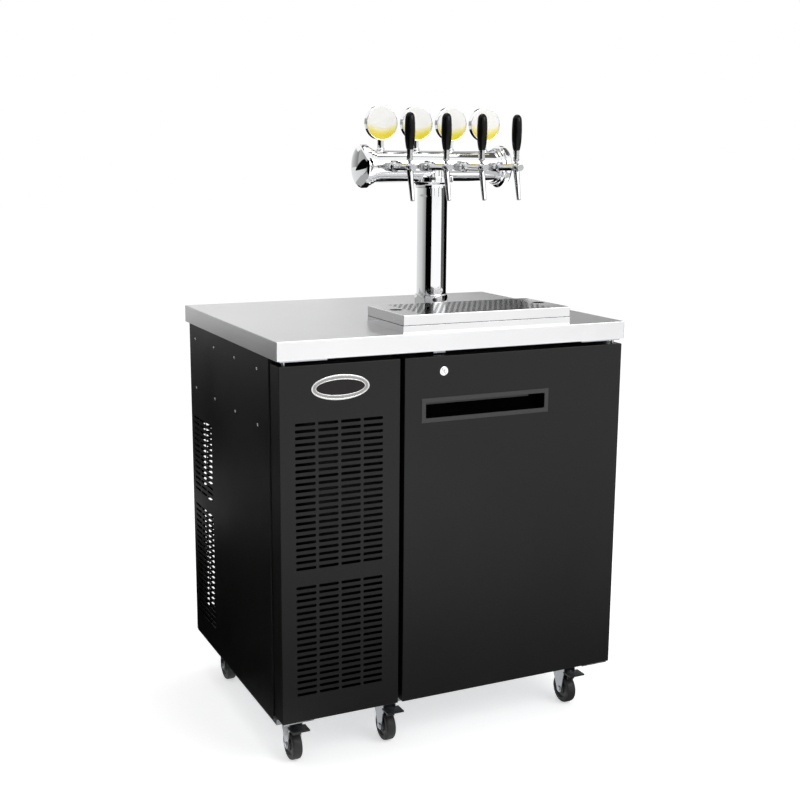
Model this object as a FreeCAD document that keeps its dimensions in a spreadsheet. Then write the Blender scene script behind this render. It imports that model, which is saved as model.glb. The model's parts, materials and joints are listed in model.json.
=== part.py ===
# Draft beer cooler: a one-door keg cabinet on casters with a four-tap tower.
# Millimetres. X to the right, Y to the back, Z up.
# The origin is on the floor, under the middle of the worktop.
import FreeCAD, Part
import os
import re
import Sketcher

doc = FreeCAD.newDocument("draft_beer_cooler")
sheet = doc.addObject("Spreadsheet::Sheet", "sizes")

# Driving dimensions, in millimetres, degrees or counts
SIZES = (
    ("worktop_width", 900), ("worktop_depth", 716), ("worktop_height", 1013),
    ("worktop_skirt", 43), ("worktop_sheet", 1.5),
    ("cabinet_width", 893), ("cabinet_back_inset", 28), ("panel_sheet", 1.2),
    ("panel_drop", 9), ("corner_flange", 16),
    ("base_bottom", 112), ("base_rise", 14), ("base_sheet", 2),
    ("base_front_setback", 43), ("base_rail_depth", 25),
    ("wall_thick", 45), ("ceiling_bottom", 930), ("partition_offset", 10),
    ("leaf_thick", 54), ("leaf_setback", 1), ("leaf_top_gap", 12), ("leaf_bottom", 130),
    ("leaf_end_inset", 1.5), ("leaf_parting", -149.5), ("leaf_parting_gap", 11),
    ("leaf_back_gap", 10), ("leaf_sheet", 1.2), ("liner_step", 6), ("liner_step_inset", 12),
    ("liner_flange", 24), ("gasket_inset", 3), ("gasket_width", 16), ("rest_gap", 0.3),
    ("slot_length", 48), ("slot_height", 7), ("slot_pitch_across", 54.5),
    ("slot_pitch_up", 15), ("slot_margin", 36), ("front_slot_top", 827),
    ("front_rows_upper", 23), ("front_rows_lower", 18), ("front_columns", 4),
    ("slot_block_gap", 45), ("side_slot_top", 722), ("side_rows_upper", 14),
    ("side_rows_lower", 21), ("side_columns", 3), ("side_slot_back_margin", 22),
    ("rear_slot_margin", 28), ("rear_columns", 4),
    ("side_screw_high", 933), ("side_screw_low", 803.3), ("side_screw_pitch", 164.4),
    ("side_screw_first", -216), ("side_screw_radius", 4), ("side_screw_head", 1.6),
    ("side_screws", 4),
    ("hinge_end_inset", 17), ("hinge_front_inset", 17), ("hinge_pin_radius", 4),
    ("hinge_pin_reach", 26), ("hinge_plate_thick", 3.5), ("hinge_plate_depth", 50),
    ("hinge_plate_end", 13), ("top_plate_length", 98), ("bottom_plate_length", 61),
    ("running_gap", 0.05), ("plate_corner_gap", 0.5),
    ("handle_width", 338), ("handle_height", 57), ("handle_rim", 10.5),
    ("handle_middle_x", 68.5), ("handle_middle_z", 833.5), ("handle_depth", 44),
    ("handle_wall", 2), ("handle_rim_proud", 0.8), ("lip_setback", 26),
    ("lip_drop", 10), ("lip_gap_left", 4), ("lip_gap_right", 29),
    ("lock_x", -44.8), ("lock_z", 922.7), ("lock_ring_radius", 10.5),
    ("lock_barrel_radius", 9), ("lock_plug_radius", 6), ("lock_barrel_length", 20),
    ("lock_ring_proud", 0.9), ("cam_length", 43), ("cam_width", 12), ("cam_thick", 3),
    ("cam_eye_margin", 1), ("key_slot_width", 1.6), ("key_slot_height", 8),
    ("key_slot_depth", 6),
    ("cam_setback", 26), ("strike_width", 31), ("strike_drop", 9), ("strike_thick", 2),
    ("strike_foot", 10),
    ("badge_width", 139), ("badge_height", 57), ("badge_middle_x", -300.6),
    ("badge_middle_z", 904), ("badge_proud", 0.9), ("badge_face_width", 115),
    ("badge_face_height", 34), ("badge_face_sink", 0.4),
    ("tower_x", 78), ("tower_y", -45), ("tube_radius", 38.05), ("tube_wall", 1.5),
    ("bar_height", 366.5), ("bar_half_length", 182), ("line_hole_radius", 31),
    ("flange_radius", 65), ("flange_thick", 6), ("neck_radius", 42), ("neck_height", 51),
    ("flange_screw_circle", 54), ("flange_screw_head_radius", 6.8),
    ("flange_screw_head", 3.5), ("collar_top_radius", 51), ("collar_low_radius", 43),
    ("collar_height", 27), ("collar_bead", 2),
    ("cap_radius", 52), ("cap_rim", 12), ("cap_dome", 15),
    ("cap_neck_radius", 42), ("cap_neck", 16), ("cap_bead", 4), ("cap_bead_length", 2),
    ("tap_pitch", 95), ("coupling_radius", 11), ("coupling_length", 36),
    ("shank_radius", 7), ("shank_inside", 12), ("tap_flange_radius", 12.5),
    ("tap_flange", 12), ("tap_flange_taper", 4), ("barrel_radius", 8.5), ("tap_reach", 125),
    ("tap_ball_radius", 10.5),
    ("tap_neck_radius", 5.8),
    ("tap_cap_radius", 8.5), ("tap_cap_reach", 22), ("tap_cap_thick", 5),
    ("tap_cap_bevel", 1), ("spout_lean", 17),
    ("spout_drop", 77), ("spout_root_radius", 7.5), ("spout_tip_radius", 5),
    ("spout_bore_radius", 3), ("lever_pivot_radius", 4), ("lever_knob_height", 19.5),
    ("lever_stem_radius", 7.5), ("handle_foot", 40.5), ("tap_handle_top", 124.5),
    ("tap_handle_foot_radius", 8.5), ("tap_handle_wide_radius", 13),
    ("medal_radius", 41.5), ("medal_thick", 18), ("medal_rise", 65.5), ("medal_rim", 2.5),
    ("medal_face", 2), ("medal_face_sink", 0.4), ("medal_back_bevel", 4),
    ("medal_stem_radius", 8), ("medal_stem_foot_radius", 10), ("medal_stem_foot", 3),
    ("medal_stem_bevel", 2),
    ("line_radius", 4), ("line_lane", 12), ("line_bend", 10), ("line_drop", 25),
    ("tray_width", 442), ("tray_depth", 200), ("tray_height", 41), ("tray_lid_height", 24.6),
    ("tray_front_setback", 12), ("tray_sheet", 1.2), ("tray_hole_radius", 4.2),
    ("tray_hole_pitch", 14.5), ("tray_hole_columns", 24), ("tray_hole_rows", 8),
    ("finger_hole_radius", 15), ("finger_hole_inset", 28),
    ("caster_left", -391), ("caster_middle", -149), ("caster_right", 368),
    ("caster_front", -252), ("caster_rear", 228), ("wheel_radius", 37.5),
    ("wheel_width", 24), ("tyre_drop", 3), ("tyre_bevel", 4), ("hub_radius", 14),
    ("wheel_offset", 22), ("axle_radius", 4),
    ("axle_head_radius", 6.5), ("axle_head", 3), ("fork_gap", 14.3), ("fork_sheet", 2.5),
    ("plate_width", 64), ("plate_length", 80), ("plate_thick", 3), ("race_radius", 24),
    ("race_thick", 5), ("kingpin_radius", 5), ("rivet_radius", 8), ("rivet_head", 3),
    ("crown_thick", 3), ("crown_front", 20), ("crown_rear", 18), ("fork_heel", 5),
    ("fork_foot", 9), ("fork_foot_flat", 5), ("fork_foot_rise", 5), ("fork_toe_rise", 3),
    ("fork_foot_drop", 10), ("fork_nose", 6), ("fork_nose_drop", 8), ("fork_nose_top", 4),
    ("rear_leg_top", 26), ("rear_leg_shoulder", 24), ("rear_leg_shoulder_drop", 12),
    ("pedal_width", 44), ("pedal_thick", 4), ("pedal_reach", 80), ("pedal_pivot_y", 38),
    ("pedal_pivot_drop", 20), ("pedal_pin_radius", 2.5), ("pedal_barrel_radius", 5),
    ("pedal_neck", 13), ("pedal_tread_start", 9), ("pedal_pad_width", 20),
    ("pedal_pad_front", 14), ("pedal_pad_drop", 20),
    ("compressor_radius", 62), ("compressor_height", 165), ("compressor_x", -300),
    ("compressor_y", 60), ("pot_lift", 22), ("pot_shoulder", 14),
    ("pot_wall_start", 26), ("foot_width", 190), ("foot_depth", 110), ("foot_under", 3),
    ("foot_over", 2), ("grommet_radius", 12), ("grommet_span_across", 160),
    ("grommet_span_deep", 80), ("condenser_width", 262), ("condenser_height", 320),
    ("condenser_thick", 45), ("condenser_setback", 22), ("condenser_lift", 20),
    ("condenser_foot", 20), ("tube_coil_radius", 5), ("tube_end", 8), ("coil_tubes", 7),
    ("shroud_depth", 28), ("fan_radius", 100),
    ("fan_gap", 8), ("fan_hub_radius", 22), ("fan_hub_depth", 18), ("blade_chord", 34),
    ("blade_thick", 2), ("blade_rise", 12), ("blades", 5), ("motor_radius", 34),
    ("motor_length", 48), ("motor_shaft_radius", 3), ("strut_thick", 6), ("strut_width", 18),
    ("coil_width", 36), ("coil_depth", 230), ("coil_height", 150), ("coil_top_gap", 22),
    ("coil_back_gap", 14), ("cover_width", 84), ("cover_margin", 12), ("hanger_drop", 20),
    ("hanger_width", 15), ("cover_hole_radius", 49), ("intake_inset", 20),
    ("cool_fan_radius", 48), ("cool_hub_radius", 13.2), ("cool_hub_depth", 9),
    ("cool_motor_radius", 20), ("cool_motor_length", 22), ("control_width", 110),
    ("control_depth", 58), ("control_height", 140), ("control_x", -300), ("control_z", 800),
    ("gland_radius", 9), ("gland_reach", 12),
)
for row, (name, size) in enumerate(SIZES, start=1):
    sheet.set("A%d" % row, name)
    sheet.set("B%d" % row, str(size))
    sheet.setAlias("B%d" % row, name)
doc.recompute()

# Places worked out from the driving dimensions
PLACES = {
    "worktop_front": "-worktop_depth / 2",
    "skirt_bottom": "worktop_height - worktop_skirt",
    "sheet_under": "worktop_height - worktop_sheet",
    "cabinet_left": "-cabinet_width / 2",
    "cabinet_right": "cabinet_width / 2",
    "cabinet_back": "worktop_depth / 2 - cabinet_back_inset",
    "leaf_front": "worktop_front + leaf_setback",
    "leaf_back": "leaf_front + leaf_thick",
    "cabinet_front": "leaf_back + leaf_back_gap",
    "leaf_top": "skirt_bottom - leaf_top_gap",
    "grille_left": "cabinet_left + leaf_end_inset",
    "grille_right": "leaf_parting - leaf_parting_gap / 2",
    "door_left": "leaf_parting + leaf_parting_gap / 2",
    "door_right": "cabinet_right - leaf_end_inset",
    "base_top": "base_bottom + base_rise",
    "base_front": "worktop_front + base_front_setback",
    "panel_bottom": "base_top - panel_drop",
    "inside_left": "cabinet_left + panel_sheet",
    "inside_right": "cabinet_right - panel_sheet",
    "inside_back": "cabinet_back - panel_sheet",
    "foam_front": "cabinet_front + panel_sheet",
    "partition_left": "leaf_parting - partition_offset",
    "cold_left": "partition_left + wall_thick",
    "cold_right": "inside_right - wall_thick",
    "cold_back": "inside_back - wall_thick",
    "cold_bottom": "base_top + wall_thick",
    "liner_left": "cold_left + panel_sheet",
    "liner_top": "ceiling_bottom - panel_sheet",
    "hinge_y": "leaf_front + hinge_front_inset",
    "door_hinge_x": "door_right - hinge_end_inset",
    "grille_hinge_x": "grille_left + hinge_end_inset",
    "pin_bore": "hinge_pin_radius + running_gap",
    "bar_z": "worktop_height + bar_height",
    "bar_front": "tower_y - tube_radius",
    "tube_bore": "tube_radius - tube_wall",
    "column_foot": "worktop_height + flange_thick",
    "flange_screw_offset": "flange_screw_circle / sqrt(2)",
    "tap_y": "bar_front - tap_reach",
    "coupling_end": "bar_front - coupling_length",
    "tap_flange_end": "coupling_end - tap_flange",
    "medal_z": "bar_z + tube_radius + medal_rise",
    "tray_front": "worktop_front + tray_front_setback",
    "tray_back": "tray_front + tray_depth",
    "tray_left": "tower_x - tray_width / 2",
    "tray_right": "tower_x + tray_width / 2",
    "tray_seam": "worktop_height + tray_height - tray_lid_height",
    "tray_top": "worktop_height + tray_height",
    "tray_middle_y": "(tray_front + tray_back) / 2",
    "tray_row_pitch": "tray_hole_pitch * sqrt(3) / 2",
    "handle_left": "handle_middle_x - handle_width / 2",
    "handle_right": "handle_middle_x + handle_width / 2",
    "handle_low": "handle_middle_z - handle_height / 2",
    "handle_high": "handle_middle_z + handle_height / 2",
    "plate_under": "base_bottom - plate_thick",
    "race_under": "plate_under - race_thick",
    "crown_top": "race_under - rest_gap",
    "crown_under": "crown_top - crown_thick",
    "machine_floor": "base_bottom + base_sheet",
    "pot_low": "machine_floor + pot_lift",
    "condenser_front": "cabinet_front + condenser_setback",
    "condenser_back": "condenser_front + condenser_thick",
    "condenser_low": "machine_floor + condenser_lift",
    "condenser_x": "(inside_left + partition_left) / 2",
    "fan_z": "condenser_low + condenser_height / 2",
    "fan_y": "condenser_back + fan_gap",
    "coil_top": "liner_top - coil_top_gap",
    "coil_back": "cold_back - coil_back_gap - cover_margin",
    "coil_left": "liner_left + cover_margin",
    "cool_fan_y": "coil_back - coil_depth / 2",
    "cool_fan_z": "coil_top - coil_height / 2",
    "cover_right": "liner_left + cover_width",
}
NAMES = {name for name, size in SIZES}
WORD = re.compile(r"[a-z_]+[a-z0-9_]*")


def full(text):
    """Expand a formula in place names to one in cells of the sheet."""
    def swap(match):
        word = match.group(0)
        if word in PLACES:
            return "(" + full(PLACES[word]) + ")"
        return "sizes." + word if word in NAMES else word
    return WORD.sub(swap, str(text))


def number(text):
    return float(sheet.evalExpression(full(text)))


def bind(item, prop, text):
    item.setExpression(prop, full(text))


def move(item, x="0", y="0", z="0"):
    for axis, text in zip("xyz", (x, y, z)):
        bind(item, "Placement.Base." + axis, text)
    return item


# Solids with flat or round sides
TURNS = {
    "x": FreeCAD.Rotation(FreeCAD.Vector(0, 1, 0), 90),
    "y": FreeCAD.Rotation(FreeCAD.Vector(1, 0, 0), -90),
    "z": FreeCAD.Rotation(),
}


def box(label, x, y, z):
    """A block between a low and a high formula along each axis."""
    solid = doc.addObject("Part::Box", label)
    for size, (low, high) in zip(("Length", "Width", "Height"), (x, y, z)):
        bind(solid, size, "(%s) - (%s)" % (high, low))
    return move(solid, x[0], y[0], z[0])


def along(axis, low, across):
    """The three coordinates of a point, low on the axis and across on the other two."""
    rest = list(across)
    return [low if name == axis else rest.pop(0) for name in "xyz"]


def rod(label, axis, radius, low, high, across):
    """A cylinder along an axis; across holds its two other coordinates."""
    solid = doc.addObject("Part::Cylinder", label)
    solid.Placement = FreeCAD.Placement(FreeCAD.Vector(), TURNS[axis])
    bind(solid, "Radius", radius)
    bind(solid, "Height", "(%s) - (%s)" % (high, low))
    return move(solid, *along(axis, low, across))


def ball(label, radius, x, y, z):
    solid = doc.addObject("Part::Sphere", label)
    bind(solid, "Radius", radius)
    return move(solid, x, y, z)


def fuse(label, *shapes):
    solid = doc.addObject("Part::MultiFuse", label)
    solid.Shapes = list(shapes)
    return solid


def cut(label, base, *tools):
    solid = doc.addObject("Part::Cut", label)
    solid.Base = base
    solid.Tool = tools[0] if len(tools) == 1 else fuse(label + "_tools", *tools)
    return solid


def group(label, shapes):
    """Separate solids that share one node."""
    solids = doc.addObject("Part::Compound", label)
    solids.Links = list(shapes)
    return solids


# Bodies drawn from sketches
def origin_part(body, role):
    return next(part for part in body.Origin.OriginFeatures if part.Role == role)


def sketch(body, role, points, height="0"):
    """A closed outline of straight lines, each corner bound to two formulas."""
    drawing = body.newObject("Sketcher::SketchObject", body.Name + "_sketch")
    drawing.AttachmentSupport = [(origin_part(body, role), "")]
    drawing.MapMode = "FlatFace"
    bind(drawing, "AttachmentOffset.Base.z", height)
    corners = [FreeCAD.Vector(number(across), number(up), 0) for across, up in points]
    for start, end in zip(corners, corners[1:] + corners[:1]):
        drawing.addGeometry(Part.LineSegment(start, end), False)
    count = len(points)
    for index in range(count):
        drawing.addConstraint(Sketcher.Constraint("Coincident", index, 2, (index + 1) % count, 1))
    for index, (across, up) in enumerate(points):
        for kind, text in (("DistanceX", across), ("DistanceY", up)):
            mark = Sketcher.Constraint(kind, -1, 1, index, 1, number(text))
            bind(drawing, "Constraints[%d]" % drawing.addConstraint(mark), text)
    return drawing


def turned(label, axis, profile, across=("0", "0")):
    """A body of revolution from (place along the axis, radius) corners."""
    body = doc.addObject("PartDesign::Body", label)
    body.Placement = FreeCAD.Placement(FreeCAD.Vector(), TURNS[axis])
    drawing = sketch(body, "XZ_Plane", [(radius, place) for place, radius in profile])
    spin = body.newObject("PartDesign::Revolution", label + "_turn")
    spin.Profile = drawing
    spin.ReferenceAxis = (drawing, ["V_Axis"])
    spin.Angle = 360
    return move(body, *along(axis, "0", across))


def padded(label, role, points, low, high):
    """A flat outline padded from low to high along its plane's normal."""
    body = doc.addObject("PartDesign::Body", label)
    pad = body.newObject("PartDesign::Pad", label + "_pad")
    pad.Profile = sketch(body, role, points, low)
    bind(pad, "Length", "(%s) - (%s)" % (high, low))
    return body


def circles(body, role, radius, centres):
    """A sketch of round holes, each centre given by two formulas."""
    drawing = body.newObject("Sketcher::SketchObject", body.Name + "_sketch")
    drawing.AttachmentSupport = [(origin_part(body, role), "")]
    drawing.MapMode = "FlatFace"
    for index, (across, up) in enumerate(centres):
        centre = FreeCAD.Vector(number(across), number(up), 0)
        drawing.addGeometry(Part.Circle(centre, FreeCAD.Vector(0, 0, 1), number(radius)), False)
        for mark, text in ((Sketcher.Constraint("DistanceX", -1, 1, index, 3, centre.x), across),
                           (Sketcher.Constraint("DistanceY", -1, 1, index, 3, centre.y), up),
                           (Sketcher.Constraint("Radius", index, number(radius)), radius)):
            bind(drawing, "Constraints[%d]" % drawing.addConstraint(mark), text)
    return drawing


def through(body, drawing):
    """Cut a sketch right through its body."""
    pocket = body.newObject("PartDesign::Pocket", body.Name + "_holes")
    pocket.Profile = drawing
    pocket.Type = "ThroughAll"
    pocket.Midplane = True
    return pocket


def bores(body, role, radius, centres):
    """Round holes right through a body."""
    through(body, circles(body, role, radius, centres))
    return body


def repeated(body, drawing, columns, pitch_across, rows, pitch_up):
    """Cut a sketch through its body in columns to the right and rows downwards."""
    holes = through(body, drawing)
    spread = body.newObject("PartDesign::MultiTransform", body.Name + "_spread")
    spread.Originals = [holes]
    patterns = []
    for name, count, pitch in (("H_Axis", columns, pitch_across), ("V_Axis", rows, pitch_up)):
        pattern = body.newObject("PartDesign::LinearPattern", body.Name + "_row")
        pattern.Direction = (drawing, [name])
        pattern.Reversed = name == "V_Axis"
        pattern.Mode = "Spacing"
        bind(pattern, "Occurrences", count)
        bind(pattern, "Offset", pitch)
        patterns.append(pattern)
    spread.Transformations = patterns
    body.Tip = spread
    return body


def slots(body, role, first, size, columns, pitch_across, blocks, pitch_up):
    """Blocks of slots through a sheet body; each block is a row count and a top middle."""
    for rows, top in blocks:
        corners = [(first, "%s - (%s) / 2" % (top, size[1])),
                   ("%s + %s" % (first, size[0]), "%s - (%s) / 2" % (top, size[1])),
                   ("%s + %s" % (first, size[0]), "%s + (%s) / 2" % (top, size[1])),
                   (first, "%s + (%s) / 2" % (top, size[1]))]
        repeated(body, sketch(body, role, corners), columns, pitch_across, rows, pitch_up)
    return body


NODES = []


def node(label, item):
    """Name a finished sub-part; its label is its file's name."""
    item.Label = label
    NODES.append(item)
    return item


def rim(label, x, y, z, wall_x, wall_y, wall_z):
    """A thin-walled box: the outer block less an inner one."""
    return cut(label, box(label + "_out", x, y, z), box(label + "_in", wall_x, wall_y, wall_z))


# Worktop: a folded stainless pan with a skirt, closed underneath in front and behind
line_hole = ("line_hole_radius", "0", "worktop_height + flange_thick", ("tower_x", "tower_y"))
half_inside = "worktop_width / 2 - worktop_sheet"
deep_inside = "worktop_depth / 2 - worktop_sheet"
node("worktop", cut(
    "worktop_pan",
    box("worktop_block", ("-worktop_width / 2", "worktop_width / 2"),
        ("worktop_front", "worktop_depth / 2"), ("skirt_bottom", "worktop_height")),
    box("worktop_hollow", ("-(%s)" % half_inside, half_inside),
        ("-(%s)" % deep_inside, deep_inside), ("skirt_bottom + worktop_sheet", "sheet_under")),
    box("worktop_mouth", ("-(%s)" % half_inside, half_inside),
        ("cabinet_front", "cabinet_back"), ("skirt_bottom - 1", "sheet_under")),
    rod("worktop_hole", "z", *line_hole)))

# Base: a galvanised tray with a box rail in front and a rib under the partition
tray_inner = ("inside_left + base_sheet", "inside_right - base_sheet")
node("base_tray", cut(
    "base_pan",
    box("base_block", ("inside_left", "inside_right"), ("base_front", "inside_back"),
        ("base_bottom", "base_top")),
    box("base_rail_hollow", tray_inner,
        ("base_front + base_sheet", "base_front + base_rail_depth - base_sheet"),
        ("machine_floor", "base_top - base_sheet")),
    box("base_machine_well", ("inside_left + base_sheet", "partition_left"),
        ("base_front + base_rail_depth", "inside_back - base_sheet"),
        ("machine_floor", "base_top + 1")),
    box("base_cold_well", ("partition_left + base_sheet", "inside_right - base_sheet"),
        ("base_front + base_rail_depth", "inside_back - base_sheet"),
        ("machine_floor", "base_top + 1"))))


# Side panels: a flat sheet with a flange turned in at the front
def side_panel(label, outer, inner, flange_end):
    body = padded(label, "XY_Plane", [
        (outer, "cabinet_front"), (flange_end, "cabinet_front"),
        (flange_end, "foam_front"), (inner, "foam_front"),
        (inner, "cabinet_back"), (outer, "cabinet_back")], "panel_bottom", "sheet_under")
    # The flange ends on top of the base
    notch = body.newObject("PartDesign::Pocket", label + "_notch")
    notch.Profile = sketch(body, "XZ_Plane", [
        (inner, "panel_bottom - 1"), (flange_end, "panel_bottom - 1"),
        (flange_end, "base_top"), (inner, "base_top")])
    notch.Type = "ThroughAll"
    notch.Midplane = True
    body.Tip = notch
    return node(label, body)


left_panel = side_panel("left_side_panel", "cabinet_left", "inside_left",
                        "cabinet_left + corner_flange")
slots(left_panel, "YZ_Plane",
      "cabinet_back - side_slot_back_margin - slot_length - (side_columns - 1) * slot_pitch_across",
      ("slot_length", "slot_height"), "side_columns", "slot_pitch_across",
      (("side_rows_upper", "side_slot_top"),
       ("side_rows_lower",
        "side_slot_top - (side_rows_upper - 1) * slot_pitch_up - slot_block_gap")),
      "slot_pitch_up")
side_panel("right_side_panel", "cabinet_right", "inside_right", "cabinet_right - corner_flange")

# Rear panel: slots behind the machine room and a bore for the cord gland
rear_panel = padded("rear_panel", "XZ_Plane", [
    ("inside_left", "panel_bottom"), ("inside_right", "panel_bottom"),
    ("inside_right", "sheet_under"), ("inside_left", "sheet_under")],
    "-cabinet_back", "-(inside_back)")
bores(rear_panel, "XZ_Plane", "gland_radius + running_gap", [("control_x", "control_z")])
slots(rear_panel, "XZ_Plane", "inside_left + rear_slot_margin",
      ("slot_length", "slot_height"), "rear_columns", "slot_pitch_across",
      (("side_rows_upper", "side_slot_top"),
       ("side_rows_lower",
        "side_slot_top - (side_rows_upper - 1) * slot_pitch_up - slot_block_gap")),
      "slot_pitch_up")
node("rear_panel", rear_panel)

# Foamed walls of the cold room, and the ceiling that carries the worktop
wall_run = ("foam_front", "inside_back")
wall_rise = ("base_top", "ceiling_bottom")
node("partition_wall", box("partition_foam", ("partition_left", "cold_left"), wall_run, wall_rise))
node("right_wall", box("right_foam", ("cold_right", "inside_right"), wall_run, wall_rise))
node("back_wall", box("back_foam", ("cold_left", "cold_right"), ("cold_back", "inside_back"),
                      ("cold_bottom", "ceiling_bottom")))
node("floor_wall", box("floor_foam", ("cold_left", "cold_right"), wall_run,
                       ("base_top", "cold_bottom")))
node("ceiling_wall", cut(
    "ceiling_foam",
    box("ceiling_block", ("inside_left", "inside_right"), wall_run,
        ("ceiling_bottom", "sheet_under")),
    rod("ceiling_hole", "z", *line_hole)))

# Liner: one thin tub with a flange round its mouth
liner_tub = cut(
    "liner_tub",
    fuse("liner_block",
         box("liner_shell", ("cold_left", "cold_right"), ("foam_front", "cold_back"),
             ("cold_bottom", "ceiling_bottom")),
         box("liner_lip", ("cold_left - liner_flange", "cold_right + liner_flange"),
             ("cabinet_front", "foam_front"),
             ("cold_bottom - liner_flange", "ceiling_bottom + liner_flange"))),
    box("liner_room", ("liner_left", "cold_right - panel_sheet"),
        ("cabinet_front - 1", "cold_back - panel_sheet"),
        ("cold_bottom + panel_sheet", "liner_top")),
    rod("liner_hole", "z", *line_hole))
node("cabinet_liner", liner_tub)

# Hinge plates with their pins, two for each leaf
brackets = []
for side, pin_x, direction in (("door", "door_hinge_x", "-"), ("grille", "grille_hinge_x", "")):
    outer_end = "%s %s hinge_plate_end" % (pin_x, "+" if direction else "-")
    for level, length, plate_z, pin_z in (
            ("top", "top_plate_length", ("skirt_bottom - hinge_plate_thick", "skirt_bottom"),
             ("leaf_top - hinge_pin_reach", "skirt_bottom")),
            ("bottom", "bottom_plate_length", ("base_top", "base_top + hinge_plate_thick"),
             ("base_top", "leaf_bottom + hinge_pin_reach"))):
        inner_end = "%s %s %s" % (pin_x, direction or "+", length)
        ends = (inner_end, outer_end) if direction else (outer_end, inner_end)
        name = "%s_%s_hinge" % (side, level)
        brackets.append(fuse(
            name,
            box(name + "_plate", ends,
                ("hinge_y - hinge_plate_end", "hinge_y - hinge_plate_end + hinge_plate_depth"),
                plate_z),
            rod(name + "_pin", "z", "hinge_pin_radius", pin_z[0], pin_z[1],
                (pin_x, "hinge_y"))))
node("hinge_brackets", group("hinge_bracket_set", brackets))


# Leaves: a folded pan open at the back, bored for its two pins
def leaf_pan(label, left, right, pin_x):
    pan = rim(label, (left, right), ("leaf_front", "leaf_back"), ("leaf_bottom", "leaf_top"),
              ("%s + leaf_sheet" % left, "%s - leaf_sheet" % right),
              ("leaf_front + leaf_sheet", "leaf_back + 1"),
              ("leaf_bottom + leaf_sheet", "leaf_top - leaf_sheet"))
    bores = rod(label + "_bores", "z", "pin_bore", "leaf_bottom - 1", "leaf_top + 1",
                (pin_x, "hinge_y"))
    return pan, bores


# Door: pan, foamed liner, pocket handle, lock and gasket
pocket_x = ("handle_left + handle_rim - handle_wall", "handle_right - handle_rim + handle_wall")
pocket_z = ("handle_low + handle_rim - handle_wall", "handle_high - handle_rim + handle_wall")
handle_hole = box("handle_hole", pocket_x,
                  ("leaf_front - 1", "leaf_front + handle_depth"), pocket_z)
lock_hole = rod("lock_hole", "y", "lock_barrel_radius", "leaf_front - 1",
                "leaf_front + lock_barrel_length", ("lock_x", "lock_z"))
cam_y = ("leaf_front + cam_setback - 2 * cam_thick", "leaf_front + cam_setback + 3 * cam_thick")
cam_room = box("cam_room", ("lock_x - cam_width", "lock_x + cam_length + cam_width / 2"), cam_y,
               ("lock_z - cam_width", "leaf_top + 1"))
door_pan, door_bores = leaf_pan("door_pan", "door_left", "door_right", "door_hinge_x")
node("door_shell", cut("door_pan_bored", door_pan, door_bores, handle_hole, lock_hole, cam_room))

step = "liner_step_inset + gasket_inset"
door_block = fuse(
    "door_fill",
    box("door_foam", ("door_left + leaf_sheet", "door_right - leaf_sheet"),
        ("leaf_front + leaf_sheet", "leaf_back"),
        ("leaf_bottom + leaf_sheet", "leaf_top - leaf_sheet")),
    box("door_step", ("cold_left + %s" % step, "cold_right - (%s)" % step),
        ("leaf_back", "leaf_back + liner_step"),
        ("cold_bottom + %s" % step, "ceiling_bottom - (%s)" % step)))
node("door_liner", cut("door_fill_cut", door_block, door_bores, handle_hole, lock_hole, cam_room))

node("door_gasket", rim(
    "gasket_ring",
    ("cold_left - gasket_inset - gasket_width", "cold_right + gasket_inset + gasket_width"),
    ("leaf_back", "cabinet_front - rest_gap"),
    ("cold_bottom - gasket_inset - gasket_width", "ceiling_bottom + gasket_inset + gasket_width"),
    ("cold_left - gasket_inset", "cold_right + gasket_inset"),
    ("leaf_back - 1", "cabinet_front + 1"),
    ("cold_bottom - gasket_inset", "ceiling_bottom + gasket_inset")))

handle_tub = rim(
    "handle_tub", pocket_x, ("leaf_front", "leaf_front + handle_depth"), pocket_z,
    ("handle_left + handle_rim", "handle_right - handle_rim"),
    ("leaf_front - 1", "leaf_front + handle_depth - handle_wall"),
    ("handle_low + handle_rim", "handle_high - handle_rim"))
handle_frame = rim(
    "handle_frame", ("handle_left", "handle_right"),
    ("leaf_front - handle_rim_proud", "leaf_front"), ("handle_low", "handle_high"),
    ("handle_left + handle_rim", "handle_right - handle_rim"),
    ("leaf_front - 2", "leaf_front + 1"), ("handle_low + handle_rim", "handle_high - handle_rim"))
handle_lip = box(
    "handle_lip",
    ("handle_left + handle_rim + lip_gap_left", "handle_right - handle_rim - lip_gap_right"),
    ("leaf_front + lip_setback", "leaf_front + lip_setback + handle_wall"),
    ("handle_high - handle_rim - lip_drop", "handle_high - handle_rim"))
node("door_handle", fuse("handle_moulding", handle_tub, handle_frame, handle_lip))

lock_face = "leaf_front - lock_ring_proud"
node("lock_barrel", cut(
    "lock_case",
    fuse("lock_case_solid",
         rod("lock_ring", "y", "lock_ring_radius", lock_face, "leaf_front",
             ("lock_x", "lock_z")),
         rod("lock_sleeve", "y", "lock_barrel_radius", "leaf_front",
             "leaf_front + lock_barrel_length", ("lock_x", "lock_z"))),
    rod("lock_bore", "y", "lock_plug_radius + running_gap", "leaf_front - 5",
        "leaf_front + lock_barrel_length + 1", ("lock_x", "lock_z"))))
cam_front = "leaf_front + cam_setback"
node("lock_plug", cut(
    "plug_and_cam",
    fuse("plug_solid",
         rod("plug", "y", "lock_plug_radius", lock_face, cam_front, ("lock_x", "lock_z")),
         rod("cam_eye", "y", "cam_width / 2 + cam_eye_margin", cam_front,
             "%s + cam_thick" % cam_front, ("lock_x", "lock_z")),
         box("cam_arm", ("lock_x", "lock_x + cam_length"),
             (cam_front, "%s + cam_thick" % cam_front),
             ("lock_z - cam_width / 2", "lock_z + cam_width / 2"))),
    box("key_slot", ("lock_x - key_slot_width / 2", "lock_x + key_slot_width / 2"),
        ("leaf_front - 3", "leaf_front + key_slot_depth"),
        ("lock_z - key_slot_height / 2", "lock_z + key_slot_height / 2"))))
strike_back = "%s - plate_corner_gap" % cam_front
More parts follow.
